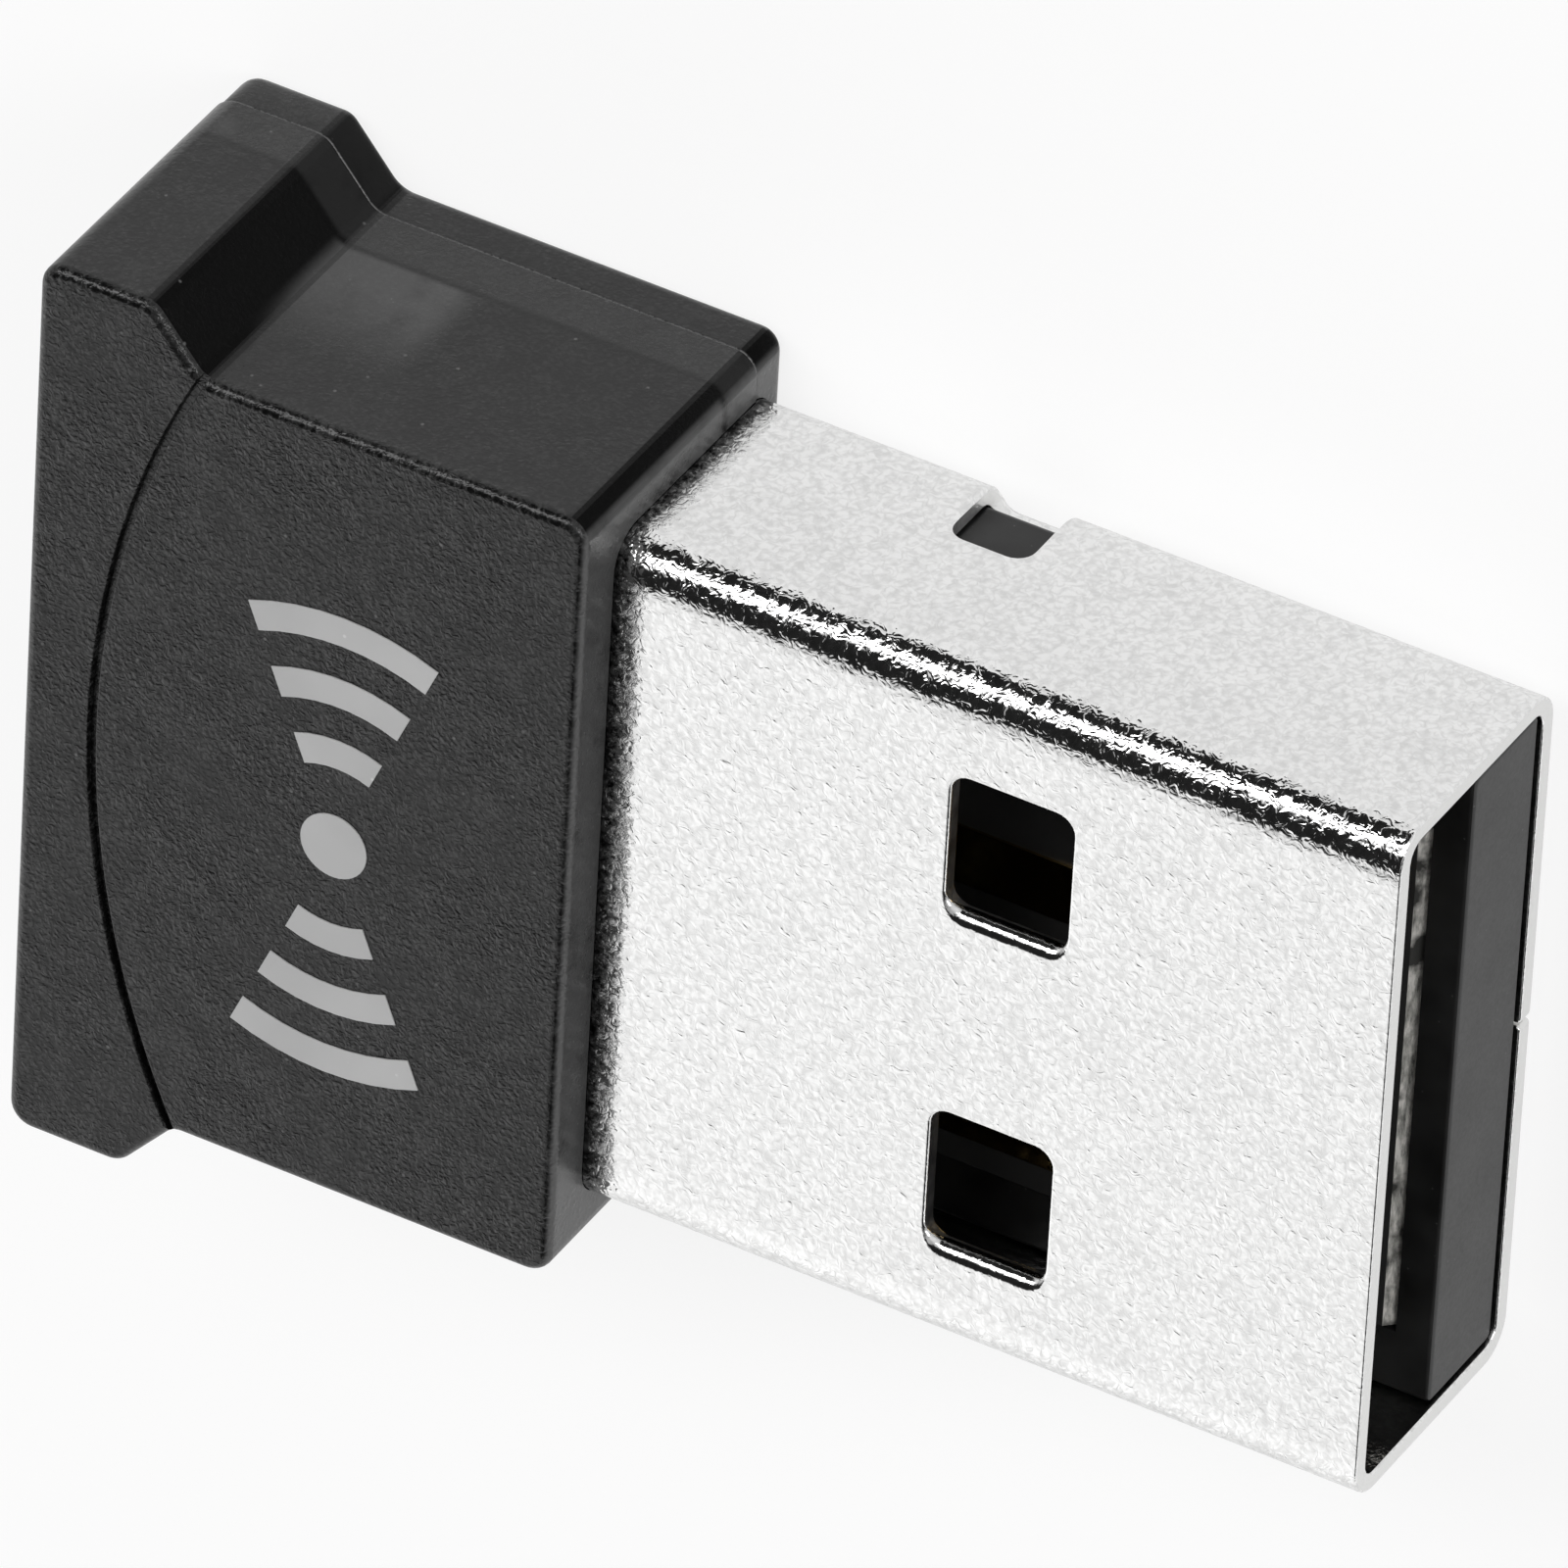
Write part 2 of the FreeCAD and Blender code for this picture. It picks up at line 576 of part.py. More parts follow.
# Front housing: the deep shell with the printed face, the plug's way in and the room behind it.
housing = new_body("front_housing")
housing_plan = new_sketch(housing, "HousingPlan", "XY_Plane", s.cover_height)
add_loop(housing_plan, tee(Size(0)))
pad(housing, "HousingBlock", housing_plan, face - s.cover_height)
blend(housing, "HousingCorners", s.plan_corner, stands_upright)
blend(housing, "FaceEdge", s.face_edge, lambda edge: lies_level(edge, face))
room = new_sketch(housing, "RoomPlan", "XY_Plane", s.cover_height)
add_loop(room, tee(wall, s.shell_inside))
pocket(housing, "Room", room, ceiling - s.cover_height, onward=True)
cut_tunnel(housing)
rebate = new_sketch(housing, "RebatePlan", "XY_Plane", s.cover_height)
add_loop(rebate, tee(s.skin))
pocket(housing, "Rebate", rebate, s.lip_height + s.fit_gap, onward=True)
add_ribs(housing, board_top + s.fit_gap, ceiling)
groove_radius = (s.groove_bulge ** 2 + body_half ** 2) / (2 * s.groove_bulge)
groove = new_sketch(housing, "GroovePlan", "XY_Plane", face)
for spread in (s.groove_width / 2, -(s.groove_width / 2)):
    add_circle(groove, foot - s.groove_bulge + groove_radius, Size(0), groove_radius + spread)
pocket(housing, "Groove", groove, s.groove_depth)

# Back cover: the shallow shell that the part lies on, with a lip that stands in the housing.
cover = new_body("back_cover")
cover_plan = new_sketch(cover, "CoverPlan", "XY_Plane", Size(0))
add_loop(cover_plan, tee(s.cover_inset))
pad(cover, "CoverBlock", cover_plan, s.cover_height)
blend(cover, "CoverCorners", s.plan_corner, stands_upright)
blend(cover, "BackEdge", s.back_edge, lambda edge: lies_level(edge, Size(0)))
lip = new_sketch(cover, "LipPlan", "XY_Plane", s.cover_height)
add_loop(lip, tee(s.skin + s.fit_gap))
pad(cover, "Lip", lip, s.lip_height)
tray = new_sketch(cover, "TrayPlan", "XY_Plane", lip_top)
add_loop(tray, tee(wall))
pocket(cover, "Tray", tray, lip_top - floor_top)
cut_tunnel(cover)
add_ribs(cover, floor_top, board_under - s.fit_gap)

# Printed mark: a film of pale ink, arcs on both sides of a dot.
mark = new_body("printed_mark")
mark_x = front - s.print_place
mark_y = -s.print_offset
ring_plan = new_sketch(mark, "RingPlan", "XY_Plane", face)
for index in range(PRINT_ARCS):
    ring = s.print_radius + index * s.print_pitch
    add_circle(ring_plan, mark_x, mark_y, ring)
    add_circle(ring_plan, mark_x, mark_y, ring - s.print_stroke)
pad(mark, "Rings", ring_plan, s.print_thickness)
reach = s.print_radius + PRINT_ARCS * s.print_pitch
cut_reach = reach * s.cut_across / s.cut_along
gap_plan = new_sketch(mark, "GapPlan", "XY_Plane", face)
for forward in (1, -1):
    add_loop(gap_plan, [
        (mark_x, mark_y),
        (mark_x + forward * reach, mark_y - cut_reach),
        (mark_x + forward * reach, mark_y + cut_reach),
    ])
pocket(mark, "Gaps", gap_plan, s.print_thickness, onward=True)
dot_plan = new_sketch(mark, "DotPlan", "XY_Plane", face)
add_circle(dot_plan, mark_x, mark_y, s.print_dot)
pad(mark, "Dot", dot_plan, s.print_thickness)

doc.recompute()
for item in doc.Objects:
    if "Invalid" in item.State or "Error" in item.State:
        raise ValueError(f"{item.Label} failed: {item.State}")
for node in nodes:
    if node.Shape.isNull() or not node.Shape.isValid() or not node.Shape.Solids:
        raise ValueError(f"{node.Label} has no valid solid")

os.makedirs("parts", exist_ok=True)
for node in nodes:
    node.Shape.exportStep(f"parts/{node.Label}.step")
    box = node.Shape.BoundBox
    print(f"{node.Label}: {len(node.Shape.Solids)} solid(s), {node.Shape.Volume:.3f} mm3,"
          f" X {box.XMin:.2f} to {box.XMax:.2f}, Y {box.YMin:.2f} to {box.YMax:.2f},"
          f" Z {box.ZMin:.2f} to {box.ZMax:.2f}")
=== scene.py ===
import math

import bpy
from mathutils import Matrix, Vector, geometry


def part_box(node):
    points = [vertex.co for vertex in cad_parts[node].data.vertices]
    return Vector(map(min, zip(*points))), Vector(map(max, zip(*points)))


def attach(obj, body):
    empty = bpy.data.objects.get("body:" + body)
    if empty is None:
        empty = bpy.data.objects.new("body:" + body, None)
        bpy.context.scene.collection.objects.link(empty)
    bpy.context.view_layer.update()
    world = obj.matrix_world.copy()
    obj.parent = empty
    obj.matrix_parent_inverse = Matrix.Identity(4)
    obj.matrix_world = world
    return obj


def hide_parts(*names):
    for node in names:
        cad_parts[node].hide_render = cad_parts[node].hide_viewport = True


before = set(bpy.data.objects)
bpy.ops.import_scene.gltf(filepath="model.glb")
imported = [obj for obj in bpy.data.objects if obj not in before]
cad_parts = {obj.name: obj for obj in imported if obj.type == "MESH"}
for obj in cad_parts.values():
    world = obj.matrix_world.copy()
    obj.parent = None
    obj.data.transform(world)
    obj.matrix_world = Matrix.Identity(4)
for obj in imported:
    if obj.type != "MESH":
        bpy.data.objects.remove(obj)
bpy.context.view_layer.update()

# ---------------------------------------------------------------- Plug shell
# The USB-A plug is a flat strip of 0.3 mm nickel-plated steel. It is punched, with two windows in
# each wide wall and a notch in each narrow one, and then folded round into a tube. A dovetail locks
# its two edges together in the far wall, and two legs behind it are soldered to the board.

MM = 0.001
shell_low, shell_high = (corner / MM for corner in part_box("plug_shell"))

SHEET = 0.3
FOLD = 0.6
FOLD_STEPS = 8
EDGE_BREAK = 0.035
EDGE_STEPS = 5
HOLE_ROLL = 0.22
HOLE_BREAK = 0.05
LEG_LENGTH = 1.2
LEG_LOW = 1.7
LEG_HIGH = 2.7
SEAM_HALF_GAP = 0.03
LOCK_FRONT = 6.6
LOCK_NECK = 1.4
LOCK_WIDE = 2.2
LOCK_REACH = 1.3
WINDOW_FRONT = 5.2
WINDOW_LENGTH = 2.0
WINDOW_WIDTH = 2.4
WINDOW_PITCH = 6.0
NOTCH_FRONT = 7.7
NOTCH_LENGTH = 1.3
NOTCH_RISE = 1.7
NOTCH_DEPTH = 0.5
HOLE_CORNER = 0.3
HOLE_CORNER_STEPS = 6
OUTER_CORNER = 0.08
OUTER_CORNER_STEPS = 3
LEAN = 0.09
LEAN_REACH = 0.35
PROBE = 0.01
SLIVER = 1e-6

rim = shell_high.x
strip_rear = shell_low.x + LEG_LENGTH
flat = shell_high.y - FOLD
upright = shell_high.z - shell_low.z - 2 * FOLD
quarter = FOLD * math.pi / 2
RUNS = [flat, quarter, upright, quarter, 2 * flat, quarter, upright, quarter, flat]
strip_end = sum(RUNS)


def fold(along, depth):
    """Where a point of the flat strip comes to lie across the tube, and how deep in the sheet."""
    y, z, heading = 0.0, shell_low.z, 0.0
    left = along
    for index, run in enumerate(RUNS):
        last = index == len(RUNS) - 1
        step = left if last else min(left, run)
        if index % 2:
            turned = heading + step / FOLD
            middle_y = y - FOLD * math.sin(heading)
            middle_z = z + FOLD * math.cos(heading)
            y = middle_y + FOLD * math.sin(turned)
            z = middle_z - FOLD * math.cos(turned)
            heading = turned
        else:
            y += step * math.cos(heading)
            z += step * math.sin(heading)
        left -= step
        if left <= 0 or last:
            break
    return y - depth * math.sin(heading), z + depth * math.cos(heading)


def drawn_in(loop, distance):
    """A closed loop of 2D points, moved to its left by a distance."""
    moved = []
    for index, point in enumerate(loop):
        ahead = (loop[(index + 1) % len(loop)] - point).normalized()
        behind = (point - loop[index - 1]).normalized()
        a = Vector((-ahead.y, ahead.x))
        b = Vector((-behind.y, behind.x))
        moved.append(point + (a + b) * distance / (1 + a.dot(b)))
    return moved


def rounded(corners, radius, steps):
    """The corners of a closed loop, each replaced by an arc that bends the same way."""
    points = []
    for index, corner in enumerate(corners):
        back = (corners[index - 1] - corner).normalized()
        on = (corners[(index + 1) % len(corners)] - corner).normalized()
        half_angle = back.angle(on) / 2
        reach = radius / math.tan(half_angle)
        middle = corner + (back + on).normalized() * radius / math.sin(half_angle)
        start = corner + back * reach - middle
        end = corner + on * reach - middle
        sweep = start.angle_signed(end)
        for step in range(steps + 1):
            turn = -sweep * step / steps
            c, s = math.cos(turn), math.sin(turn)
            points.append(middle + Vector((c * start.x - s * start.y, s * start.x + c * start.y)))
    return points


def rectangle(left, right, low, high):
    """The corners of a rectangle, anticlockwise."""
    return [Vector(p) for p in ((left, low), (right, low), (right, high), (left, high))]


def put_in_scene(name, data):
    """A new object with its data, in the scene."""
    thing = bpy.data.objects.new(name, data)
    bpy.context.scene.collection.objects.link(thing)
    return thing


def new_piece(name, points, faces):
    """A mesh object at the origin, from points in millimetres."""
    mesh = bpy.data.meshes.new(name)
    mesh.from_pydata([Vector(p) * MM for p in points], [], faces)
    mesh.validate()
    return put_in_scene(name, mesh)


def bake(piece):
    """Turns a piece and its modifiers into a plain mesh."""
    graph = bpy.context.evaluated_depsgraph_get()
    mesh = bpy.data.meshes.new_from_object(piece.evaluated_get(graph), depsgraph=graph)
    piece.modifiers.clear()
    piece.data = mesh


def smooth(piece, degrees):
    """Smooth shading over soft edges, with the broad faces kept flat."""
    piece.data.shade_smooth()
    piece.data.set_sharp_from_angle(angle=math.radians(degrees))
    weighted = piece.modifiers.new("weighted", "WEIGHTED_NORMAL")
    weighted.keep_sharp = True
    bake(piece)


lock = rim - LOCK_FRONT
gap = SEAM_HALF_GAP


def seam_side(outward):
    """The strip's edge along the seam, from rear to rim, on one side of its gap."""
    shift = gap * outward
    return [
        (strip_rear, shift),
        (lock - LOCK_NECK / 2 - shift, shift),
        (lock - LOCK_WIDE / 2 - shift, LOCK_REACH + shift),
        (lock + LOCK_WIDE / 2 + shift, LOCK_REACH + shift),
        (lock + LOCK_NECK / 2 + shift, shift),
        (rim, shift),
    ]


def leg_along(z):
    """How far along the strip a height on the first upright wall lies."""
    return flat + quarter + z - shell_low.z - FOLD


first_leg = [leg_along(shell_low.z + LEG_LOW), leg_along(shell_low.z + LEG_HIGH)]
second_leg = [strip_end - first_leg[1], strip_end - first_leg[0]]
outline = [Vector((along, x)) for x, along in seam_side(1)]
outline += [Vector((strip_end + along, x)) for x, along in reversed(seam_side(-1))]
for near, far in (second_leg, first_leg):
    outline += [Vector((far, strip_rear)), Vector((far, shell_low.x)),
                Vector((near, shell_low.x)), Vector((near, strip_rear))]
outline = rounded(list(reversed(outline)), OUTER_CORNER, OUTER_CORNER_STEPS)

notch_start = flat + FOLD * math.asin((shell_high.y - NOTCH_DEPTH - flat) / FOLD)
notch_end = leg_along(shell_low.z + NOTCH_RISE)
top_middle = flat + quarter + upright + quarter + flat
holes = []
for middle in (WINDOW_PITCH / 2, strip_end - WINDOW_PITCH / 2,
               top_middle - WINDOW_PITCH / 2, top_middle + WINDOW_PITCH / 2):
    holes.append(rectangle(middle - WINDOW_WIDTH / 2, middle + WINDOW_WIDTH / 2,
                           rim - WINDOW_FRONT - WINDOW_LENGTH, rim - WINDOW_FRONT))
for start, end in ((notch_start, notch_end), (strip_end - notch_end, strip_end - notch_start)):
    holes.append(rectangle(start, end, rim - NOTCH_FRONT - NOTCH_LENGTH, rim - NOTCH_FRONT))
holes = [list(reversed(rounded(hole, HOLE_CORNER, HOLE_CORNER_STEPS))) for hole in holes]

loops = [drawn_in(outline, EDGE_BREAK)] + [drawn_in(hole, HOLE_ROLL) for hole in holes]
coords, edges = [], []
for loop in loops:
    first = len(coords)
    coords += loop
    edges += [(first + i, first + (i + 1) % len(loop)) for i in range(len(loop))]
bend = 0.0
bends = []
for index, run in enumerate(RUNS):
    if index % 2:
        bends.append((bend, bend + run))
        rows = [bend + run * step / FOLD_STEPS for step in range(FOLD_STEPS + 1)]
        rows += [bend - LEAN_REACH, bend - LEAN_REACH / 2]
        rows += [bend + run + LEAN_REACH / 2, bend + run + LEAN_REACH]
        for along in rows:
            edges.append((len(coords), len(coords) + 1))
            coords += [Vector((along, strip_rear + EDGE_BREAK)), Vector((along, rim - EDGE_BREAK))]
    bend += run


def inside(point, loop):
    """True if a 2D point lies in a closed loop."""
    crossings = 0
    for a, b in zip(loop, loop[1:] + loop[:1]):
        if (a.y > point.y) != (b.y > point.y):
            if point.x < a.x + (point.y - a.y) * (b.x - a.x) / (b.y - a.y):
                crossings += 1
    return crossings % 2 == 1


flat_points, _, triangles, *_ = geometry.delaunay_2d_cdt(coords, edges, [], 0, SLIVER)
kept = []
for triangle in triangles:
    a, b, c = (flat_points[i] for i in triangle)
    centre = (a + b + c) / 3
    area = (b - a).cross(c - a) / 2
    if abs(area) < SLIVER or not inside(centre, loops[0]) or any(inside(centre, hole) for hole in loops[1:]):
        continue
    kept.append(list(triangle) if area > 0 else list(reversed(triangle)))

following = {}
used = {(a, b) for t in kept for a, b in zip(t, t[1:] + t[:1])}
for a, b in used:
    if (b, a) not in used:
        following[a] = b
rings = []
while following:
    start, nxt = following.popitem()
    ring = [start]
    while nxt != start:
        ring.append(nxt)
        nxt = following.pop(nxt)
    rings.append(ring)

points, faces, normals = [], [], []
numbers = {}


def strip_point(place, depth, facing, outward=Vector((0, 0))):
    """The number of a new point of the shell, which faces off the sheet or outward along it."""
    y, z = fold(place.x, depth)
    beyond = fold(place.x, depth - 1)
    off_sheet = Vector((0, beyond[0] - y, beyond[1] - z))
    aside = Vector((0, -off_sheet.z, off_sheet.y))
    lean = 0.0
    for start, end in bends:
        middle = (start + end) / 2
        from_bend = abs(abs(place.x - middle) - (end - start) / 2)
        if from_bend < LEAN_REACH:
            lean += math.copysign(LEAN * (1 - from_bend / LEAN_REACH) ** 2, middle - place.x)
    points.append((place.y, y, z))
    normals.append((off_sheet + aside * lean) * facing + aside * outward.x + Vector((outward.y, 0, 0)))
    return len(points) - 1


def outward_from(loop):
    """The direction away from the sheet at each point of its edge, as the longer side has it."""
    sides = [b - a for a, b in zip(loop, loop[1:] + loop[:1])]
    return [Vector((a.y + b.y, -a.x - b.x)).normalized() for a, b in zip(sides[-1:] + sides, sides)]


for side, depth in ((0, 0.0), (1, SHEET)):
    for index in {i for t in kept for i in t}:
        numbers[side, index] = strip_point(flat_points[index], depth, 1 - 2 * side)
for t in kept:
    faces.append([numbers[0, i] for i in t])
    faces.append([numbers[1, i] for i in reversed(t)])
quarter_steps = [math.pi / 2 * step / EDGE_STEPS for step in range(1, EDGE_STEPS + 1)]
sheared_faces = []
outer_ring = max(rings, key=len)
for ring in rings:
    loop = [flat_points[i] for i in ring]
    away = outward_from(loop)
    spread = [ahead - p for p, ahead in zip(loop, drawn_in(loop, 1.0))]
    plain = ring is outer_ring
    reach = EDGE_BREAK if plain else HOLE_ROLL
    rolls = [EDGE_BREAK] * len(ring)
    if not plain:
        turned_up = [(fold(p.x + PROBE * way.x, 0)[0] - fold(p.x, 0)[0]) / PROBE
                     for p, way in zip(loop, away)]
        rolls = [HOLE_BREAK + (HOLE_ROLL - HOLE_BREAK) * min(1.0, max(0.0, up)) ** 3 for up in turned_up]
    rows = [[numbers[0, i] for i in ring]]
    for side in (0, 1):
        angles = quarter_steps if plain else [0.0] + quarter_steps
        for angle in angles if side == 0 else reversed(angles):
            row = []
            for p, move, way, roll in zip(loop, spread, away, rolls):
                radius = EDGE_BREAK if side else roll
                dip = radius * (1 - math.cos(angle))
                place = p - move * (reach - radius * (1 - math.sin(angle)))
                row.append(strip_point(place, SHEET - dip if side else dip, math.cos(angle) * (1 - 2 * side),
                                       way * math.sin(angle)))
            rows.append(row)
    rows.append([numbers[1, i] for i in ring])
    if plain:
        rows.pop(-2)
    for number, (upper, lower) in enumerate(zip(rows, rows[1:])):
        for i in range(len(ring)):
            j = (i + 1) % len(ring)
            if number == EDGE_STEPS + (not plain):
                sheared_faces.append(len(faces))
            faces.append([upper[j], upper[i], lower[i], lower[j]])

steel_shell = new_piece("steel_shell", points, faces)
steel_shell.data.shade_smooth()
steel_shell.data.normals_split_custom_set_from_vertices([normal.normalized() for normal in normals])


def add_node(tree, kind, sockets, **settings):
    """A node with its settings made, and each socket given a value or joined to another."""
    node = tree.nodes.new(kind)
    for key, value in settings.items():
        setattr(node, key, value)
    for key, value in sockets.items():
        if isinstance(value, bpy.types.NodeSocket):
            tree.links.new(value, node.inputs[key])
        else:
            node.inputs[key].default_value = value
    return node


def calculated(tree, operation, *values):
    """The result of one calculation with values or sockets."""
    return add_node(tree, "ShaderNodeMath", dict(enumerate(values)), operation=operation).outputs[0]


def ranged(tree, value, low, high, start=0.0, end=1.0, kind="LINEAR"):
    """A value that goes from low to high while its source goes from start to end."""
    sockets = {"Value": value, "From Min": start, "From Max": end, "To Min": low, "To Max": high}
    return add_node(tree, "ShaderNodeMapRange", sockets, interpolation_type=kind).outputs[0]


def mask_of(tree, value, start, end, kind="LINEAR"):
    """A mask that goes from 0 to 1 while its source goes from start to end."""
    return ranged(tree, value, 0.0, 1.0, start, end, kind)


def scaled_by(tree, vector, scale):
    """A vector or a colour made larger or smaller."""
    return add_node(tree, "ShaderNodeVectorMath", {0: vector, "Scale": scale}, operation="SCALE").outputs[0]


def noise(tree, spot, scale, detail=2.0, roughness=0.5, distortion=0.0):
    """A random field between 0 and 1."""
    sockets = {"Vector": spot, "Scale": scale, "Detail": detail, "Roughness": roughness,
               "Distortion": distortion}
    return add_node(tree, "ShaderNodeTexNoise", sockets).outputs["Fac"]


def grey(level):
    """A plain grey as a colour."""
    return level, level, level, 1


def grey_ramp(tree, factor, stops):
    """Greys or colours over a factor from 0 to 1."""
    ramp = tree.nodes.new("ShaderNodeValToRGB")
    while len(ramp.color_ramp.elements) < len(stops):
        ramp.color_ramp.elements.new(0.5)
    for element, (place, colour) in zip(ramp.color_ramp.elements, stops):
        element.position = place
        element.color = (*colour, 1) if isinstance(colour, tuple) else grey(colour)
    tree.links.new(factor, ramp.inputs["Fac"])
    return ramp.outputs["Color"]


def mixed(tree, factor, first, second):
    """Two colours mixed by a mask."""
    return add_node(tree, "ShaderNodeMix", {0: factor, 6: first, 7: second}, data_type="RGBA").outputs[2]


def in_cells(tree, size):
    """The place on the object, in cells of a size in millimetres."""
    where = add_node(tree, "ShaderNodeTexCoord", {}).outputs["Object"]
    return scaled_by(tree, where, calculated(tree, "DIVIDE", 1 / MM, size))


def in_millimetres(tree):
    """The place on the object in millimetres, and its X, Y and Z."""
    where = add_node(tree, "ShaderNodeTexCoord", {}).outputs["Object"]
    spot = scaled_by(tree, where, 1 / MM)
    return spot, *add_node(tree, "ShaderNodeSeparateXYZ", {"Vector": spot}).outputs


def new_effect(name, sizes, results):
    """An empty shader group with named numbers in and out."""
    group = bpy.data.node_groups.new(name, "ShaderNodeTree")
    for label, value in sizes.items():
        socket = group.interface.new_socket(label, in_out="INPUT", socket_type="NodeSocketFloat")
        socket.default_value = value
    for label in results:
        group.interface.new_socket(label, in_out="OUTPUT", socket_type="NodeSocketFloat")
    return group, group.nodes.new("NodeGroupInput").outputs, group.nodes.new("NodeGroupOutput").inputs


def new_finish(name, plain):
    """A material, its tree and its shader, with the shader's plain values set."""
    material = bpy.data.materials.new(name)
    material.use_nodes = True
    shader = material.node_tree.nodes["Principled BSDF"]
    for key, value in plain.items():
        shader.inputs[key].default_value = value
    return material, material.node_tree, shader


def place_effect(tree, group, sizes):
    """An effect placed in a material, with its own numbers."""
    node = tree.nodes.new("ShaderNodeGroup")
    node.node_tree = group
    for key, value in sizes.items():
        node.inputs[key].default_value = value
    return node.outputs


def feed(tree, shader, tone, dull, height, depth, strength=1.0):
    """Gives a shader its colour, its roughness and a relief, as deep in millimetres as said."""
    sockets = {"Height": height, "Strength": strength, "Distance": depth * MM}
    relief = add_node(tree, "ShaderNodeBump", sockets).outputs["Normal"]
    for label, value in (("Base Color", tone), ("Roughness", dull), ("Normal", relief)):
        tree.links.new(value, shader.inputs[label])


# Effect: a net of fine wrinkles, a size across in millimetres, over broader unevenness.
wrinkles, size_in, result = new_effect("wrinkles", {"Size": 0.1, "Broad": 0.3}, ["Height", "Fine", "Blotch"])
scaled = in_cells(wrinkles, size_in["Size"])
veins = noise(wrinkles, scaled, 0.55, detail=1.5, distortion=0.7)
creases = calculated(wrinkles, "ABSOLUTE", calculated(wrinkles, "SUBTRACT", veins, 0.5))
pebbles = add_node(wrinkles, "ShaderNodeTexVoronoi", {"Vector": scaled, "Scale": 0.7, "Smoothness": 0.6},
                   feature="SMOOTH_F1").outputs["Distance"]
broad = noise(wrinkles, scaled, 0.11)
fine = calculated(wrinkles, "MULTIPLY_ADD", pebbles, -0.30, creases)
height = calculated(wrinkles, "MULTIPLY_ADD", broad, size_in["Broad"], fine)
wrinkles.links.new(height, result["Height"])
wrinkles.links.new(calculated(wrinkles, "ADD", fine, 0.3), result["Fine"])
wrinkles.links.new(broad, result["Blotch"])

JOINT_SHADE = 0.16
JOINT_SHADE_RAGGED = 0.5
FOLD_RELIEF = 3.2
JOINT_RELIEF = 2.6
NICKEL_RELIEF = 0.0085
nickel, tree, shader = new_finish("nickel_plated_steel", {"Metallic": 1.0, "IOR": 2.0})
grain = place_effect(tree, wrinkles, {"Size": 0.085, "Broad": 0.4})
spot, x, y, z = in_millimetres(tree)
wall_side = mask_of(tree, calculated(tree, "ABSOLUTE", y), flat - 0.05, flat + 0.12)
above_middle = calculated(tree, "SUBTRACT", z, (shell_low.z + shell_high.z) / 2)
wall_end = mask_of(tree, calculated(tree, "ABSOLUTE", above_middle), upright / 2 - 0.02, upright / 2 + 0.12)
stretched = ranged(tree, calculated(tree, "MULTIPLY", wall_side, wall_end), 1.0, FOLD_RELIEF)
# Painted shade: a ragged band of the steel next to the housing is painted dark, as the shade at the joint.
ragged = noise(tree, spot, 8.0, detail=5.0, roughness=0.85)
out_of_housing = calculated(tree, "SUBTRACT", x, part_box("front_housing")[1].x / MM)
from_joint = calculated(tree, "ADD", out_of_housing, ranged(tree, ragged, -JOINT_SHADE_RAGGED, JOINT_SHADE_RAGGED))
out_of_joint_shade = mask_of(tree, from_joint, JOINT_SHADE - 0.06, JOINT_SHADE + 0.08)
beside_joint = ranged(tree, from_joint, JOINT_RELIEF, 1.0, JOINT_SHADE, JOINT_SHADE + 0.30)
dust_and_joint_shade = grey_ramp(tree, grain["Fine"], [(0.12, 0.01), (0.36, 0.30)])
bright = grey_ramp(tree, grain["Fine"], [(0.10, (0.78, 0.78, 0.775)), (0.32, (0.965, 0.965, 0.96))])
bright = scaled_by(tree, bright, ranged(tree, grain["Blotch"], 0.97, 1.0, 0.35, 0.65))
rough = calculated(tree, "MULTIPLY", grain["Height"], calculated(tree, "MAXIMUM", stretched, beside_joint))
feed(tree, shader, mixed(tree, out_of_joint_shade, dust_and_joint_shade, bright), ranged(tree, grain["Height"], 0.08, 0.16), rough,
     NICKEL_RELIEF)
steel_shell.data.materials.append(nickel)

# The punched edges of the sheet are rougher than its rolled faces. Their colour is painted shade: dark grey,
# which shows most in the windows, but pale at the rim and the notches.
sheared, tree, shader = new_finish("sheared_edge", {"Metallic": 1.0, "IOR": 2.0})
grain = place_effect(tree, wrinkles, {"Size": 0.05, "Broad": 0.6})
_, x, y, _ = in_millimetres(tree)
at_rim = mask_of(tree, x, rim - 0.4, rim - 0.3)
at_notch = mask_of(tree, calculated(tree, "ABSOLUTE", y), flat - 0.3, flat)
tone = grey_ramp(tree, grain["Blotch"], [(0.3, 0.24), (0.7, 0.42)])
tone = mixed(tree, calculated(tree, "MAXIMUM", at_rim, at_notch), tone, (0.90, 0.90, 0.89, 1))
feed(tree, shader, tone, ranged(tree, grain["Blotch"], 0.25, 0.5), grain["Height"], 0.012)
steel_shell.data.materials.append(sheared)
for number in sheared_faces:
    steel_shell.data.polygons[number].material_index = 1

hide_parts("plug_shell")
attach(steel_shell, "root")

# ---------------------------------------------------------------- Board carrier
# A moulded block of black nylon that fills the far half of the plug. The board lies in its cradle,
# and a lip across the plug's mouth covers the board's front edge.

carrier_low, carrier_high = (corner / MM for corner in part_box("board_carrier"))
board_low, board_high = (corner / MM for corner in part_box("circuit_board"))
CARRIER_CORNER = 0.15
CARRIER_CORNER_STEPS = 4
CARRIER_EDGE = 0.08
EDGE_MIDDLE_BACK = 0.3
EDGE_MIDDLE_IN = 0.29
CRADLE_GAP = 0.05
RAIL = 1.1
INSERT_SOFT_ANGLE = 40
OVERSHOOT = 1.0


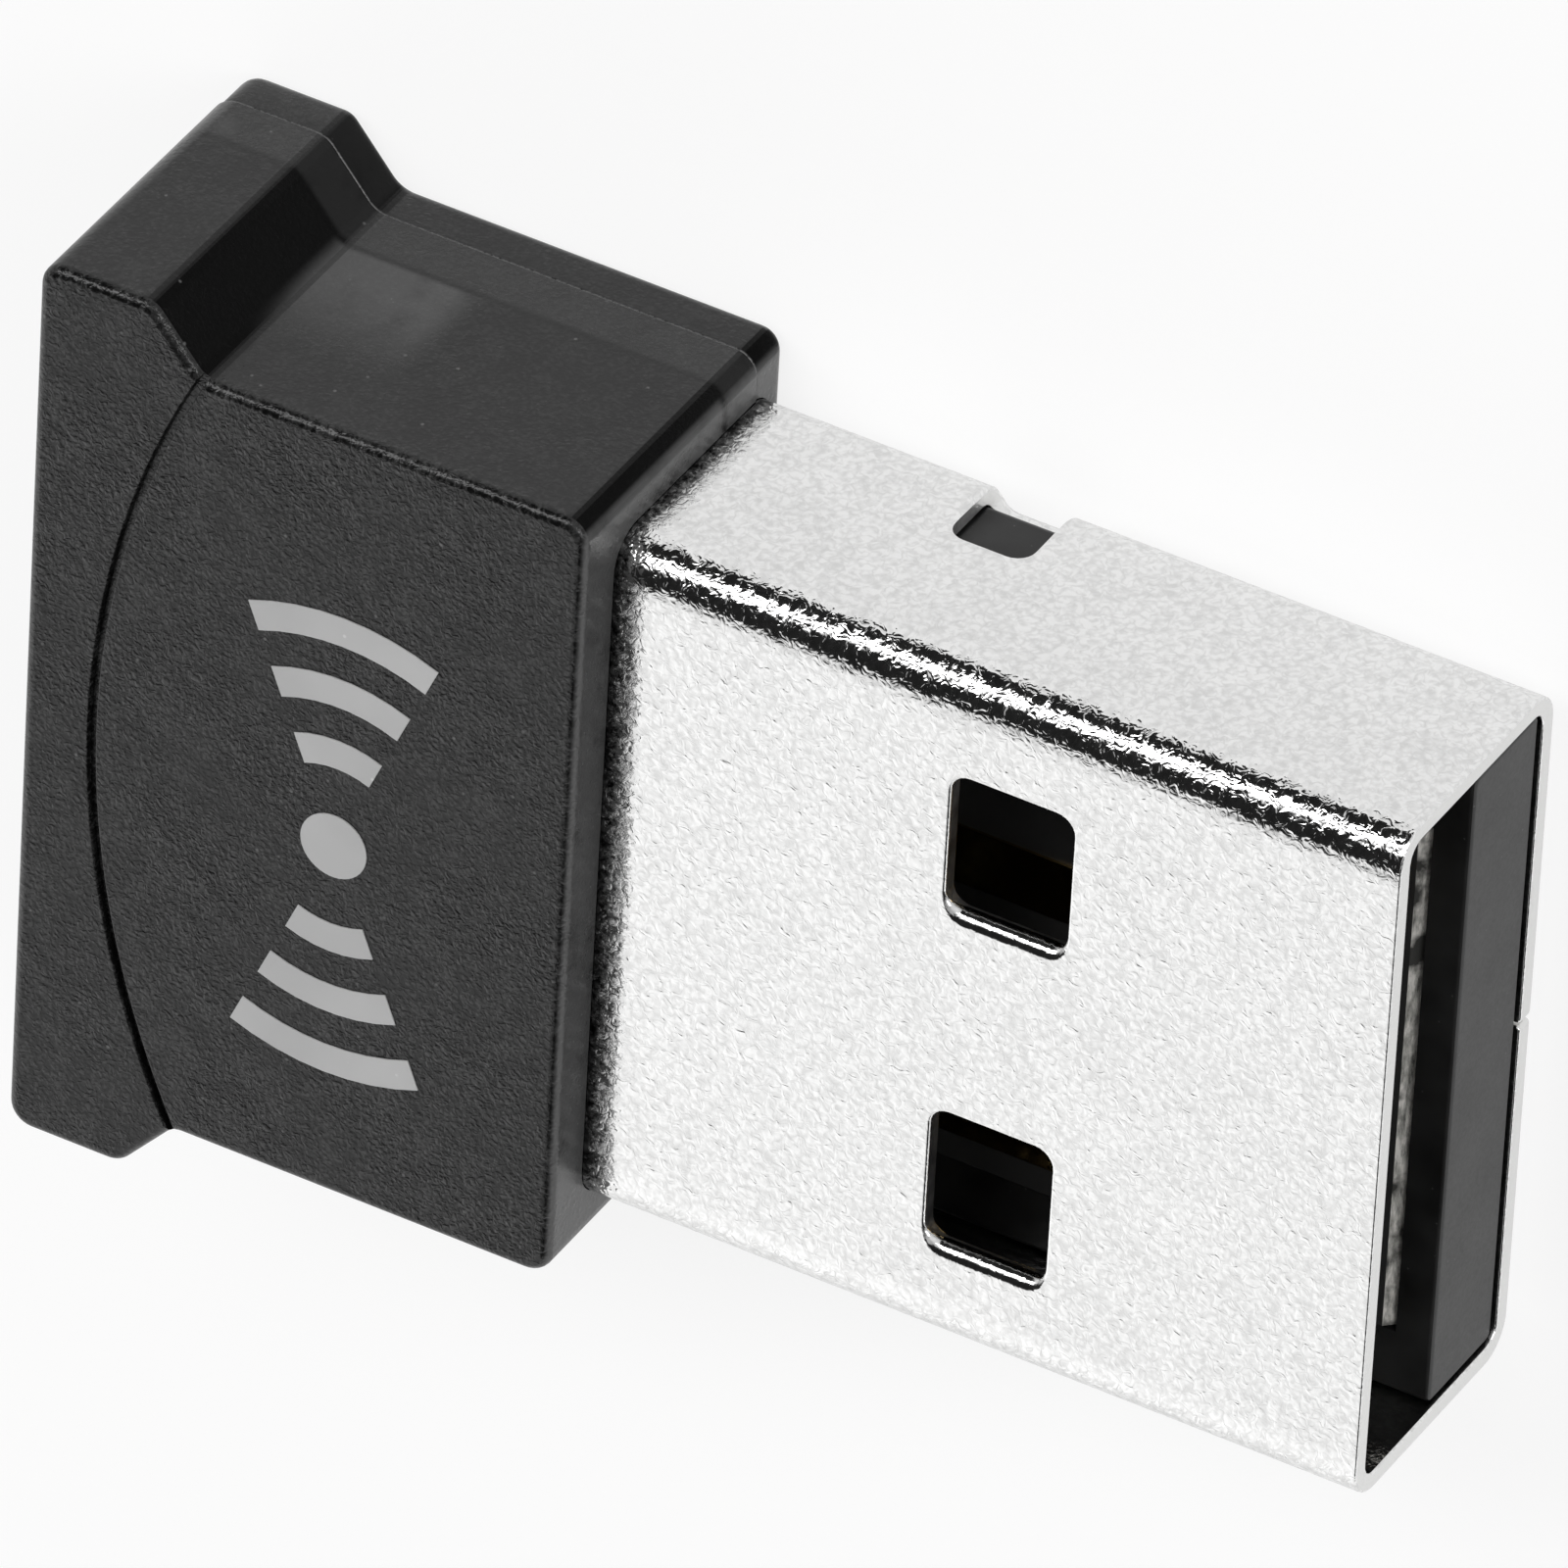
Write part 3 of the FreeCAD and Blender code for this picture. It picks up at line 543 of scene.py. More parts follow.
def prism(name, loop, rows):
    """A closed solid from one loop drawn in by steps: each row is a height and how far it is drawn in."""
    rings = [[Vector((p.x, p.y, z)) for p in (drawn_in(loop, inset) if inset else loop)] for z, inset in rows]
    count = len(loop)
    points = [p for ring in rings for p in ring]
    faces = [list(reversed(range(count))), [len(points) - count + i for i in range(count)]]
    for row in range(len(rings) - 1):
        for i in range(count):
            j = (i + 1) % count
            faces.append([row * count + i, row * count + j, (row + 1) * count + j, (row + 1) * count + i])
    return new_piece(name, points, faces)


def turned_to_x(piece):
    """Lays a prism down, so that its own X, Y and height become Y, Z and X."""
    for vertex in piece.data.vertices:
        vertex.co = (vertex.co.z, vertex.co.x, vertex.co.y)


def cut(piece, tools, operation="DIFFERENCE"):
    """Cuts the tools out of a piece, or joins them to it, and throws them away."""
    for tool in tools:
        boolean = piece.modifiers.new("cut", "BOOLEAN")
        boolean.operation = operation
        boolean.solver = "EXACT"
        boolean.object = tool
        bake(piece)
        bpy.data.objects.remove(tool)


section = rounded(rectangle(-carrier_high.y, carrier_high.y, carrier_low.z, carrier_high.z),
                  CARRIER_CORNER, CARRIER_CORNER_STEPS)
rows = [(carrier_low.x, CARRIER_EDGE), (carrier_low.x + CARRIER_EDGE, 0),
        (carrier_high.x - CARRIER_EDGE, 0),
        (carrier_high.x - CARRIER_EDGE * EDGE_MIDDLE_BACK, CARRIER_EDGE * EDGE_MIDDLE_IN),
        (carrier_high.x, CARRIER_EDGE)]
insert = prism("moulded_insert", section, rows)
turned_to_x(insert)
cradle_half = carrier_high.y - RAIL
cradle_plan = rectangle(carrier_low.x - OVERSHOOT, board_high.x + CRADLE_GAP, -cradle_half, cradle_half)
cradle = prism("cradle", cradle_plan, [(board_low.z, 0), (carrier_high.z + OVERSHOOT, 0)])
cut(insert, [cradle])
smooth(insert, INSERT_SOFT_ANGLE)

# Effect: the fine spark-eroded grain that a mould leaves on plastic.
mould_grain, size_in, result = new_effect("mould_grain", {"Size": 0.06}, ["Height", "Patch", "Dust"])
scaled = in_cells(mould_grain, size_in["Size"])
dust = add_node(mould_grain, "ShaderNodeTexVoronoi", {"Vector": scaled, "Scale": 0.17, "Randomness": 1.0})
mould_grain.links.new(noise(mould_grain, scaled, 0.7, 3.0, 0.6, 0.6), result["Height"])
mould_grain.links.new(noise(mould_grain, scaled, 0.05), result["Patch"])
mould_grain.links.new(ranged(mould_grain, dust.outputs["Distance"], 1.0, 0.0, 0.03, 0.07), result["Dust"])


def plastic_finish(name, plain, size, tones, dust_tone, roughness, depth, strength):
    """A moulded plastic with grain of a size, uneven tone and a little dust."""
    material, tree, shader = new_finish(name, plain)
    grain = place_effect(tree, mould_grain, {"Size": size})
    tone = grey_ramp(tree, grain["Patch"], [(0.3, tones[0]), (0.7, tones[1])])
    tone = mixed(tree, grain["Dust"], tone, grey(dust_tone))
    feed(tree, shader, tone, ranged(tree, grain["Height"], *roughness), grain["Height"], depth, strength)
    return material


nylon = plastic_finish("black_insert", {"IOR": 1.5, "Specular IOR Level": 0.36}, 0.05, (0.006, 0.022), 0.07,
                       (0.22, 0.46), 0.002, 0.25)
insert.data.materials.append(nylon)
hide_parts("board_carrier")
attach(insert, "root")

# ---------------------------------------------------------------- Circuit board
# One piece of glass laminate under black solder mask, 0.6 mm thick: a tongue that slides into the
# plug and a wider part behind it. Its front edge is bevelled, and the bare cut glass shows there.

BOARD_BEVEL = 0.15
TONGUE_GAP = 0.05
LEVEL = 0.9
board_waist = strip_rear - TONGUE_GAP
tongue_half = cradle_half - TONGUE_GAP
board_side = [(board_low.x, board_high.y), (board_waist, board_high.y), (board_waist, tongue_half)]
steps = [(board_low.z, BOARD_BEVEL), (board_low.z + BOARD_BEVEL, 0.0),
         (board_high.z - BOARD_BEVEL, 0.0), (board_high.z, BOARD_BEVEL)]
points, faces = [], []
for z, bevel in steps:
    side = board_side + [(board_high.x - bevel, tongue_half)]
    points += [(x, y, z) for x, y in side]
    points += [(x, -y, z) for x, y in reversed(side)]
count = 2 * (len(board_side) + 1)
faces = [list(range(count)), [len(points) - 1 - i for i in range(count)]]
for row in range(len(steps) - 1):
    for i in range(count):
        j = (i + 1) % count
        faces.append([row * count + i, (row + 1) * count + i, (row + 1) * count + j, row * count + j])
laminate_board = new_piece("laminate_board", points, faces)

mask, tree, shader = new_finish("solder_mask", {"IOR": 1.5, "Coat Weight": 0.2})
weave = place_effect(tree, mould_grain, {"Size": 0.12})
tone = grey_ramp(tree, weave["Patch"], [(0.3, 0.025), (0.7, 0.040)])
tree.links.new(mixed(tree, weave["Dust"], tone, grey(0.08)), shader.inputs["Base Color"])
tree.links.new(ranged(tree, weave["Patch"], 0.25, 0.4), shader.inputs["Roughness"])

bare_glass, tree, shader = new_finish("bare_laminate", {"IOR": 1.5})
spot = in_millimetres(tree)[0]
fibres = add_node(tree, "ShaderNodeMapping", {"Vector": spot, "Scale": (9, 2, 9)}).outputs[0]
fray = noise(tree, fibres, 1.0, detail=5.0, roughness=0.65)
torn = mask_of(tree, noise(tree, spot, 1.6, detail=4.0), 0.37, 0.48)
tone = grey_ramp(tree, fray, [(0.30, (0.06, 0.06, 0.055)), (0.45, (0.34, 0.335, 0.31)),
                              (0.60, (0.72, 0.70, 0.66))])
feed(tree, shader, mixed(tree, torn, (0.03, 0.03, 0.027, 1), tone), ranged(tree, fray, 0.6, 0.95), fray, 0.02)
laminate_board.data.materials.append(mask)
laminate_board.data.materials.append(bare_glass)
for face in laminate_board.data.polygons:
    face.material_index = 0 if abs(face.normal.z) > LEVEL else 1
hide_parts("circuit_board")
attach(laminate_board, "root")

# ---------------------------------------------------------------- Contact fingers and solder
# The four gold-plated pads on the tongue, worn by the socket's springs, the copper antenna under
# its mask and the solder that holds the plug's legs.

METAL_STRENGTH = 0.3


def metal_finish(name, tones, roughness, size, depth):
    """A metal whose tone and gloss change over broad blotches."""
    material, tree, shader = new_finish(name, {"Metallic": 1.0})
    grain = place_effect(tree, mould_grain, {"Size": size})
    tone = grey_ramp(tree, grain["Patch"], [(0.3, tones[0]), (0.7, tones[1])])
    feed(tree, shader, tone, ranged(tree, grain["Height"], *roughness), grain["Height"], depth,
         METAL_STRENGTH)
    return material


def dress(finish, *names):
    """Gives a finish to CAD nodes that keep their own shape."""
    for name in names:
        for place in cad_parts[name].material_slots:
            place.material = finish


dress(metal_finish("gold_contact", ((0.50, 0.34, 0.13), (0.62, 0.45, 0.20)), (0.08, 0.16), 0.08, 0.001),
      "vbus_finger", "data_minus_finger", "data_plus_finger", "ground_finger")
dress(metal_finish("copper_trace", ((0.30, 0.13, 0.07), (0.42, 0.20, 0.11)), (0.3, 0.45), 0.08, 0.002),
      "antenna")
dress(metal_finish("solder", ((0.52, 0.52, 0.53), (0.66, 0.66, 0.67)), (0.22, 0.42), 0.12, 0.008),
      "left_solder_joint", "right_solder_joint")

# ---------------------------------------------------------------- Soldered parts
# The parts on the board: moulded chips, the crystal in its steel can, coils, a status lamp and rows
# of ceramic chip parts whose two ends are dipped in tin.

dress(plastic_finish("chip_package", {"IOR": 1.55}, 0.03, (0.016, 0.026), 0.08, (0.45, 0.65), 0.002, 0.3),
      "radio_chip", "memory_chip", "surge_protector")
dress(metal_finish("crystal_can", ((0.70, 0.66, 0.56), (0.80, 0.77, 0.68)), (0.25, 0.4), 0.06, 0.002),
      "crystal")
dress(plastic_finish("ferrite", {"IOR": 1.6}, 0.05, (0.035, 0.055), 0.12, (0.5, 0.75), 0.004, 0.4),
      "ferrite_bead", "power_inductor")
dress(plastic_finish("lamp_resin", {"IOR": 1.5}, 0.05, (0.62, 0.74), 0.4, (0.25, 0.4), 0.001, 0.2),
      "status_lamp")

RESISTOR_BODY = 0.3
CAPACITOR_BODY = 0.28
COIL_BODY = 0.15


def tipped_finish(name, middle, half_body, body_tones):
    """A chip part's body between two tinned ends, split along X at its row's middle."""
    material, tree, shader = new_finish(name, {"IOR": 1.5})
    grain = place_effect(tree, mould_grain, {"Size": 0.04})
    from_middle = calculated(tree, "ABSOLUTE", calculated(tree, "SUBTRACT", in_millimetres(tree)[1], middle))
    tip = mask_of(tree, from_middle, half_body - 0.02, half_body + 0.02)
    body = grey_ramp(tree, grain["Patch"], [(0.3, body_tones[0]), (0.7, body_tones[1])])
    tree.links.new(mixed(tree, tip, body, (0.66, 0.66, 0.67, 1)), shader.inputs["Base Color"])
    tree.links.new(tip, shader.inputs["Metallic"])
    tree.links.new(ranged(tree, grain["Height"], 0.3, 0.5), shader.inputs["Roughness"])
    return material


def middle_of(node):
    """A CAD node's middle along X, in millimetres."""
    low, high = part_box(node)
    return (low.x + high.x) / 2 / MM


dress(tipped_finish("resistor_body", middle_of("resistor_1"), RESISTOR_BODY, (0.012, 0.02)),
      *(f"resistor_{i}" for i in range(1, 5)))
dress(tipped_finish("ceramic", middle_of("capacitor_1"), CAPACITOR_BODY,
                    ((0.30, 0.20, 0.12), (0.38, 0.27, 0.17))),
      *(f"capacitor_{i}" for i in range(1, 7)))
dress(tipped_finish("coil_ceramic", middle_of("matching_coil"), COIL_BODY, (0.5, 0.6)),
      "matching_coil")

# ---------------------------------------------------------------- Back cover
# The shallow shell of smoky polycarbonate that the adapter lies on: a tray with a lip that stands
# inside the front housing. The plug passes over its front edge.

house_low, house_high = (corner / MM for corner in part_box("front_housing"))

BODY_HALF = 6.8
SLOPE_FOOT = 6.35
SLOPE_LENGTH = 0.87
PLAN_CORNER = 0.4
CORNER_STEPS = 8
COVER_INSET = 0.03
BACK_EDGE = 0.28
EDGE_ROWS = 6
SKIN = 0.35
WALL = 0.75
SHELL_INSIDE = 3.8
PARTING_BREAK = 0.05
PARTING_ROWS = 3
FIT = 0.05
LIP_HEIGHT = 0.95
STOP = 0.2

foot = house_high.x - SLOPE_FOOT
shoulder = foot - SLOPE_LENGTH
parting = house_low.z
lip_top = parting + LIP_HEIGHT


def tee(front_inset=0.0):
    """The housing's plan: a body with a wider grip behind it, anticlockwise."""
    side = [(house_low.x, house_high.y), (shoulder, house_high.y), (foot, BODY_HALF),
            (house_high.x - front_inset, BODY_HALF)]
    loop = side + [(x, -y) for x, y in reversed(side)]
    return [Vector(p) for p in reversed(loop)]


def edge_rows(radius, steps, base, sign, inset=0.0):
    """Heights and insets that round an edge off, ending on the flat at base."""
    rows = []
    for step in range(steps + 1):
        angle = math.pi / 2 * step / steps
        rows.append((base - sign * radius * (1 - math.sin(angle)), inset + radius * (1 - math.cos(angle))))
    return rows


plan = rounded(tee(), PLAN_CORNER, CORNER_STEPS)
rows = list(reversed(edge_rows(BACK_EDGE, EDGE_ROWS, 0.0, -1, COVER_INSET)))
rows += edge_rows(PARTING_BREAK, PARTING_ROWS, parting, 1, COVER_INSET)
tray_cover = prism("smoky_cover", plan, rows)
lip = prism("lip", drawn_in(tee(), SKIN + FIT), [(parting - FIT, 0), (lip_top - FIT, 0), (lip_top, FIT)])
cut(tray_cover, [lip], "UNION")

# Effect: what the smoky wall lets through, as painted light and shade, and its wear: a painted shade line at
# the height of the lip inside with painted light under it, pale patches of painted light through the side and
# front walls, painted light on the cover's part of the slopes, and the scuffed parting line.
smoky_wall, size_in, result = new_effect(
    "smoky_wall", {"Parting": 0.9, "Lip Top": 1.8, "Face": 5.8, "Foot": -8.2, "Front": -1.85},
    ["Line", "Painted Light", "Seam", "Grained"])
spot, x, y, z = in_millimetres(smoky_wall)


def from_to(value, start, end):
    """A mask of the smoky wall that rises smoothly from 0 to 1 between two places."""
    return mask_of(smoky_wall, value, start, end, "SMOOTHSTEP")


def beyond(value, place):
    """How far a value is past a place."""
    return calculated(smoky_wall, "SUBTRACT", value, place)


def near(value, place, reach):
    """A mask that is 1 at a place and falls to 0 at a reach from it."""
    return from_to(calculated(smoky_wall, "ABSOLUTE", beyond(value, place)), reach, 0.0)


def together(operation, first, *others):
    """Masks of the smoky wall, put together one after another."""
    for other in others:
        first = calculated(smoky_wall, operation, first, other)
    return first


cloud = from_to(noise(smoky_wall, spot, 1.3, detail=3.0), 0.05, 0.50)
speckles = from_to(noise(smoky_wall, spot, 14.0), 0.25, 0.55)
over_seam = beyond(z, size_in["Parting"])
above_seam = from_to(over_seam, 0.02, 0.08)
over_lip = beyond(z, size_in["Lip Top"])
light_under_lip = together("MULTIPLY", from_to(over_lip, 0.02, -0.06), above_seam, 0.11)
below_face = beyond(size_in["Face"], z)
from_foot = beyond(x, size_in["Foot"])
side = from_to(calculated(smoky_wall, "ABSOLUTE", y), 6.5, 6.75)
body_light_patch = together("MULTIPLY", from_to(from_foot, 2.5, 1.9), from_to(from_foot, -0.15, 0.05),
                      from_to(below_face, 1.2, 3.4), from_to(over_lip, -0.04, 0.06))
grip_light_patch = together("MULTIPLY", near(from_foot, -2.2, 0.5), near(z, 1.5, 0.6), 0.6)
light_patches = together("MULTIPLY", together("MAXIMUM", body_light_patch, grip_light_patch), side, above_seam, 0.40)
front_wall_light = together("MULTIPLY", from_to(beyond(x, size_in["Front"]), -0.10, -0.03), 0.48)
slope_cover_light = together("MULTIPLY", from_to(over_seam, 0.0, -0.06), from_to(from_foot, 0.1, -0.1), 0.08)
pale = together("MAXIMUM", light_patches, light_under_lip, front_wall_light, slope_cover_light)
smoky_wall.links.new(together("MULTIPLY", pale, cloud), result["Painted Light"])
smoky_wall.links.new(together("MULTIPLY", near(over_lip, 0.0, 0.13), 0.8), result["Line"])
smoky_wall.links.new(together("MULTIPLY", near(over_seam, 0.0, 0.045), speckles), result["Seam"])
smoky_wall.links.new(from_to(below_face, 0.30, 0.02), result["Grained"])

SMOKY_RELIEF = 0.026
LIP_SHADE_TONE = 0.002
SEAM_TONE = 0.30
DUST_TONE = 0.10


def smoky_finish(name, level, tones, pale):
    """The smoky plastic, with a gloss level, its darkest and lightest grey and the pale grey of its painted
    light.
    """
    material, tree, shader = new_finish(name, {"IOR": 1.5, "Specular IOR Level": level})
    grain = place_effect(tree, wrinkles, {"Size": 0.054, "Broad": 0.35})
    dust_and_joint_shade = place_effect(tree, mould_grain, {"Size": 0.09})
    wall = place_effect(tree, smoky_wall, {"Parting": parting, "Lip Top": lip_top, "Face": house_high.z,
                                           "Foot": foot, "Front": house_high.x})
    grained = grey_ramp(tree, grain["Height"], [(0.05, tones[0]), (0.25, tones[1])])
    plain = grey_ramp(tree, grain["Height"], [(0.05, tones[0]), (0.25, (tones[0] + tones[1]) / 2)])
    tone = mixed(tree, wall["Grained"], plain, grained)
    for mask, over in ((wall["Painted Light"], pale), (wall["Line"], LIP_SHADE_TONE), (wall["Seam"], SEAM_TONE),
                       (dust_and_joint_shade["Dust"], DUST_TONE)):
        tone = mixed(tree, mask, tone, grey(over))
    wear = calculated(tree, "MULTIPLY", ranged(tree, wall["Grained"], 0.45, 1.0),
                      ranged(tree, dust_and_joint_shade["Patch"], 0.45, 1.1, 0.3, 0.7))
    feed(tree, shader, tone, ranged(tree, grain["Height"], 0.20, 0.40),
         calculated(tree, "MULTIPLY", grain["Height"], wear), SMOKY_RELIEF)
    return material


# The last three finishes are painted shade: darker, less glossy copies of the smoky plastic for faces turned
# towards +X and the sides.
SMOKY = [smoky_finish("smoky_plastic", 0.42, (0.004, 0.032), 0.16),
         smoky_finish("smoky_plastic_shade_1", 0.26, (0.004, 0.014), 0.08),
         smoky_finish("smoky_plastic_shade_2", 0.13, (0.003, 0.008), 0.15),
         smoky_finish("smoky_plastic_shade", 0.04, (0.0025, 0.0045), 0.17)]
SHADE_TURNS = [0.12, 0.27, 0.42]
FACE_TILT = 0.35
SMOKY_SOFT_ANGLE = 35


def finish_smoky(piece):
    """Smooths a shell and gives it the smoky finishes, with painted shade on the slopes and upright corners:
    darker greys and less gloss in steps as their faces turn.
    """
    smooth(piece, SMOKY_SOFT_ANGLE)
    for finish in SMOKY:
        piece.data.materials.append(finish)
    for face in piece.data.polygons:
        facing = min(face.normal.x, abs(face.normal.y)) if face.normal.z < FACE_TILT else 0.0
        face.material_index = sum(facing > turn for turn in SHADE_TURNS)


TUNNEL_GAP = 0.012
TUNNEL_STEPS = 8
RIB_SETBACK = 2.05
RIB_LENGTH = 1.5
RIB_THICK = 0.5
RIB_OUT = 5.3


def new_maker(name, sizes):
    """An empty Geometry Nodes tree with a mesh in and out and named sizes."""
    tree = bpy.data.node_groups.new(name, "GeometryNodeTree")
    tree.interface.new_socket("Geometry", in_out="INPUT", socket_type="NodeSocketGeometry")
    for label in sizes:
        tree.interface.new_socket(label, in_out="INPUT", socket_type="NodeSocketFloat")
    tree.interface.new_socket("Geometry", in_out="OUTPUT", socket_type="NodeSocketGeometry")
    return tree, tree.nodes.new("NodeGroupInput").outputs, tree.nodes.new("NodeGroupOutput").inputs


def end_maker(tree, made, finish, result):
    """Ends a tree: its instances are made real and given their material."""
    real = add_node(tree, "GeometryNodeRealizeInstances", {"Geometry": made}).outputs["Geometry"]
    dressed = add_node(tree, "GeometryNodeSetMaterial", {"Geometry": real}).outputs["Geometry"]
    dressed.node.inputs["Material"].default_value = finish
    tree.links.new(dressed, result["Geometry"])


def let_make(piece, tree, sizes):
    """Lets a tree shape a piece with its sizes, in metres or as angles, and keeps the mesh."""
    maker = piece.modifiers.new(tree.name, "NODES")
    maker.node_group = tree
    for item in tree.interface.items_tree:
        if item.in_out == "INPUT" and item.name in sizes:
            maker[item.identifier] = sizes[item.name]
    bake(piece)


def vector_of(tree, x, y, z):
    """Three numbers or sockets as one vector."""
    return add_node(tree, "ShaderNodeCombineXYZ", {"X": x, "Y": y, "Z": z}).outputs["Vector"]


rib_maker, size, made = new_maker("board_ribs", ["Length", "Thickness", "Height", "Out", "Middle X",
                                                 "Middle Z"])
rib_size = vector_of(rib_maker, size["Length"], size["Thickness"], size["Height"])
rib_block = add_node(rib_maker, "GeometryNodeMeshCube", {"Size": rib_size}).outputs["Mesh"]
first_place = vector_of(rib_maker, size["Middle X"], calculated(rib_maker, "MULTIPLY", size["Out"], -1.0),
                        size["Middle Z"])
apart = vector_of(rib_maker, 0.0, calculated(rib_maker, "MULTIPLY", size["Out"], 2.0), 0.0)
places = add_node(rib_maker, "GeometryNodeMeshLine",
                  {"Count": 2, "Start Location": first_place, "Offset": apart}).outputs["Mesh"]
ribs = add_node(rib_maker, "GeometryNodeInstanceOnPoints",
                {"Points": places, "Instance": rib_block}).outputs["Instances"]
end_maker(rib_maker, ribs, SMOKY[0], made)


def board_ribs(low, high):
    """The pair of ribs that holds the board's edges, between two heights."""
    pair = new_piece("ribs", [], [])
    middle = house_low.x + RIB_SETBACK + RIB_LENGTH / 2
    let_make(pair, rib_maker, {"Length": RIB_LENGTH * MM, "Thickness": RIB_THICK * MM,
                               "Height": (high - low) * MM, "Out": RIB_OUT * MM,
                               "Middle X": middle * MM, "Middle Z": (low + high) / 2 * MM})
    return pair


def tunnel():
    """The way through the front wall in which the plug's shell sits."""
    half = shell_high.y + TUNNEL_GAP
    low, high = shell_low.z - TUNNEL_GAP, shell_high.z + TUNNEL_GAP
    section = rounded(rectangle(-half, half, low, high), FOLD + TUNNEL_GAP, TUNNEL_STEPS)
    way = prism("tunnel", section, [(strip_rear, 0), (house_high.x + OVERSHOOT, 0)])
    turned_to_x(way)
    return way


room = prism("room", drawn_in(tee(), WALL), [(shell_low.z + STOP, 0), (lip_top + OVERSHOOT, 0)])
cut(tray_cover, [room, tunnel()])
cut(tray_cover, [board_ribs(shell_low.z + STOP - FIT, board_low.z - FIT)], "UNION")

finish_smoky(tray_cover)
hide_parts("back_cover")
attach(tray_cover, "root")

# ---------------------------------------------------------------- Front housing
# The deep shell of the same smoky polycarbonate, with the printed face. It is moulded in one piece
# with a curved groove across the face where the grip begins, and snaps over the cover's lip.

FACE_EDGE = 0.17
GROOVE_BULGE = 1.58
GROOVE_HALF = 0.065
GROOVE_DEPTH = 0.13
GROOVE_LIP = 0.03
GROOVE_LIP_CURVE = [(1.0, 0.0), (0.4, 0.3), (0.0, 1.2)]
GROOVE_TAPER = 0.85
GROOVE_ABOVE = 0.05
GROOVE_OVERRUN = 0.6
ARC_STEPS = 121

rows = list(reversed(edge_rows(PARTING_BREAK, PARTING_ROWS, parting, -1)))
rows += edge_rows(FACE_EDGE, EDGE_ROWS, house_high.z, 1)
housing = prism("smoky_housing", plan, rows)
rebate = prism("rebate", drawn_in(tee(), SKIN), [(parting - OVERSHOOT, 0), (lip_top + FIT, 0)])
room = prism("room", drawn_in(tee(SHELL_INSIDE - WALL), WALL),
             [(parting - OVERSHOOT, 0), (shell_high.z - STOP, 0)])

groove_radius = (GROOVE_BULGE ** 2 + BODY_HALF ** 2) / (2 * GROOVE_BULGE)
groove_middle = foot - GROOVE_BULGE + groove_radius
groove_sweep = math.asin((BODY_HALF + GROOVE_OVERRUN) / groove_radius)
section = [(-GROOVE_HALF - GROOVE_LIP, GROOVE_ABOVE)]
section += [(-GROOVE_HALF - GROOVE_LIP * out, -GROOVE_LIP * down) for out, down in GROOVE_LIP_CURVE]
section += [(-GROOVE_HALF * GROOVE_TAPER, -GROOVE_DEPTH)]
section += [(-out, z) for out, z in reversed(section)]
section = [(out * MM, -z * MM) for out, z in reversed(section)]
mesh = bpy.data.meshes.new("groove")
mesh.from_pydata([(*p, 0) for p in section], [(i, (i + 1) % len(section)) for i in range(len(section))], [])
groove = put_in_scene("groove", mesh)

# The cutter carries its own section round an arc over the face.
groove_maker, size, made = new_maker("groove_cutter", ["Radius", "Start", "Sweep", "Middle X", "Height"])
arc = add_node(groove_maker, "GeometryNodeCurveArc",
               {"Resolution": ARC_STEPS, "Radius": size["Radius"], "Start Angle": size["Start"],
                "Sweep Angle": size["Sweep"]})
level_arc = add_node(groove_maker, "GeometryNodeSetCurveNormal", {"Curve": arc.outputs["Curve"]}, mode="Z_UP")
profile = add_node(groove_maker, "GeometryNodeMeshToCurve", {"Mesh": size["Geometry"]}).outputs["Curve"]
swept = add_node(groove_maker, "GeometryNodeCurveToMesh", {"Curve": level_arc.outputs["Curve"],
                                                           "Profile Curve": profile, "Fill Caps": True})
placed = add_node(groove_maker, "GeometryNodeTransform",
                  {"Geometry": swept.outputs["Mesh"],
                   "Translation": vector_of(groove_maker, size["Middle X"], 0.0, size["Height"])})
end_maker(groove_maker, placed.outputs["Geometry"], SMOKY[0], made)
let_make(groove, groove_maker, {"Radius": groove_radius * MM, "Start": math.pi - groove_sweep,
                                "Sweep": 2 * groove_sweep, "Middle X": groove_middle * MM,
                                "Height": house_high.z * MM})
cut(housing, [rebate, room, tunnel(), groove])
cut(housing, [board_ribs(board_high.z + FIT, shell_high.z - STOP + FIT)], "UNION")
finish_smoky(housing)
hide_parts("front_housing")
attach(housing, "root")

# ---------------------------------------------------------------- Printed mark
# A generic mark, a dot between waves, in a thin film of pale grey ink. It is pad-printed on the
# moulded face, so it takes on the plastic's grain.

dress(plastic_finish("pale_ink", {"IOR": 1.45}, 0.09, (0.50, 0.57), 0.7, (0.45, 0.6), 0.012, 0.3),
      "printed_mark")

# ---------------------------------------------------------------- Studio
# A white floor in a white tent whose black cards show as dark lines in the steel's fold, a bright
# narrow lamp above the camera's left, and a long lens at the photograph's angle.

EYE = Vector((0.15415, 0.25294, 0.29473))
LOOK = Vector((-0.3713, -0.6065, -0.7030))
UP = Vector((-0.3344, 0.7937, -0.5082))
SENSOR = 36
FRAME_PIXELS = 1600
FOCAL_PIXELS = 29538.44
camera_data = bpy.data.cameras.new("camera")
camera_data.sensor_width = SENSOR
camera_data.lens = FOCAL_PIXELS * SENSOR / FRAME_PIXELS
camera_data.clip_start = 0.01
camera_data.clip_end = 50
camera = put_in_scene("camera", camera_data)
across = LOOK.cross(UP).normalized()
turned = Matrix((across, across.cross(LOOK).normalized(), -LOOK.normalized())).transposed()
camera.matrix_world = Matrix.Translation(EYE) @ turned.to_4x4()
bpy.context.scene.camera = camera

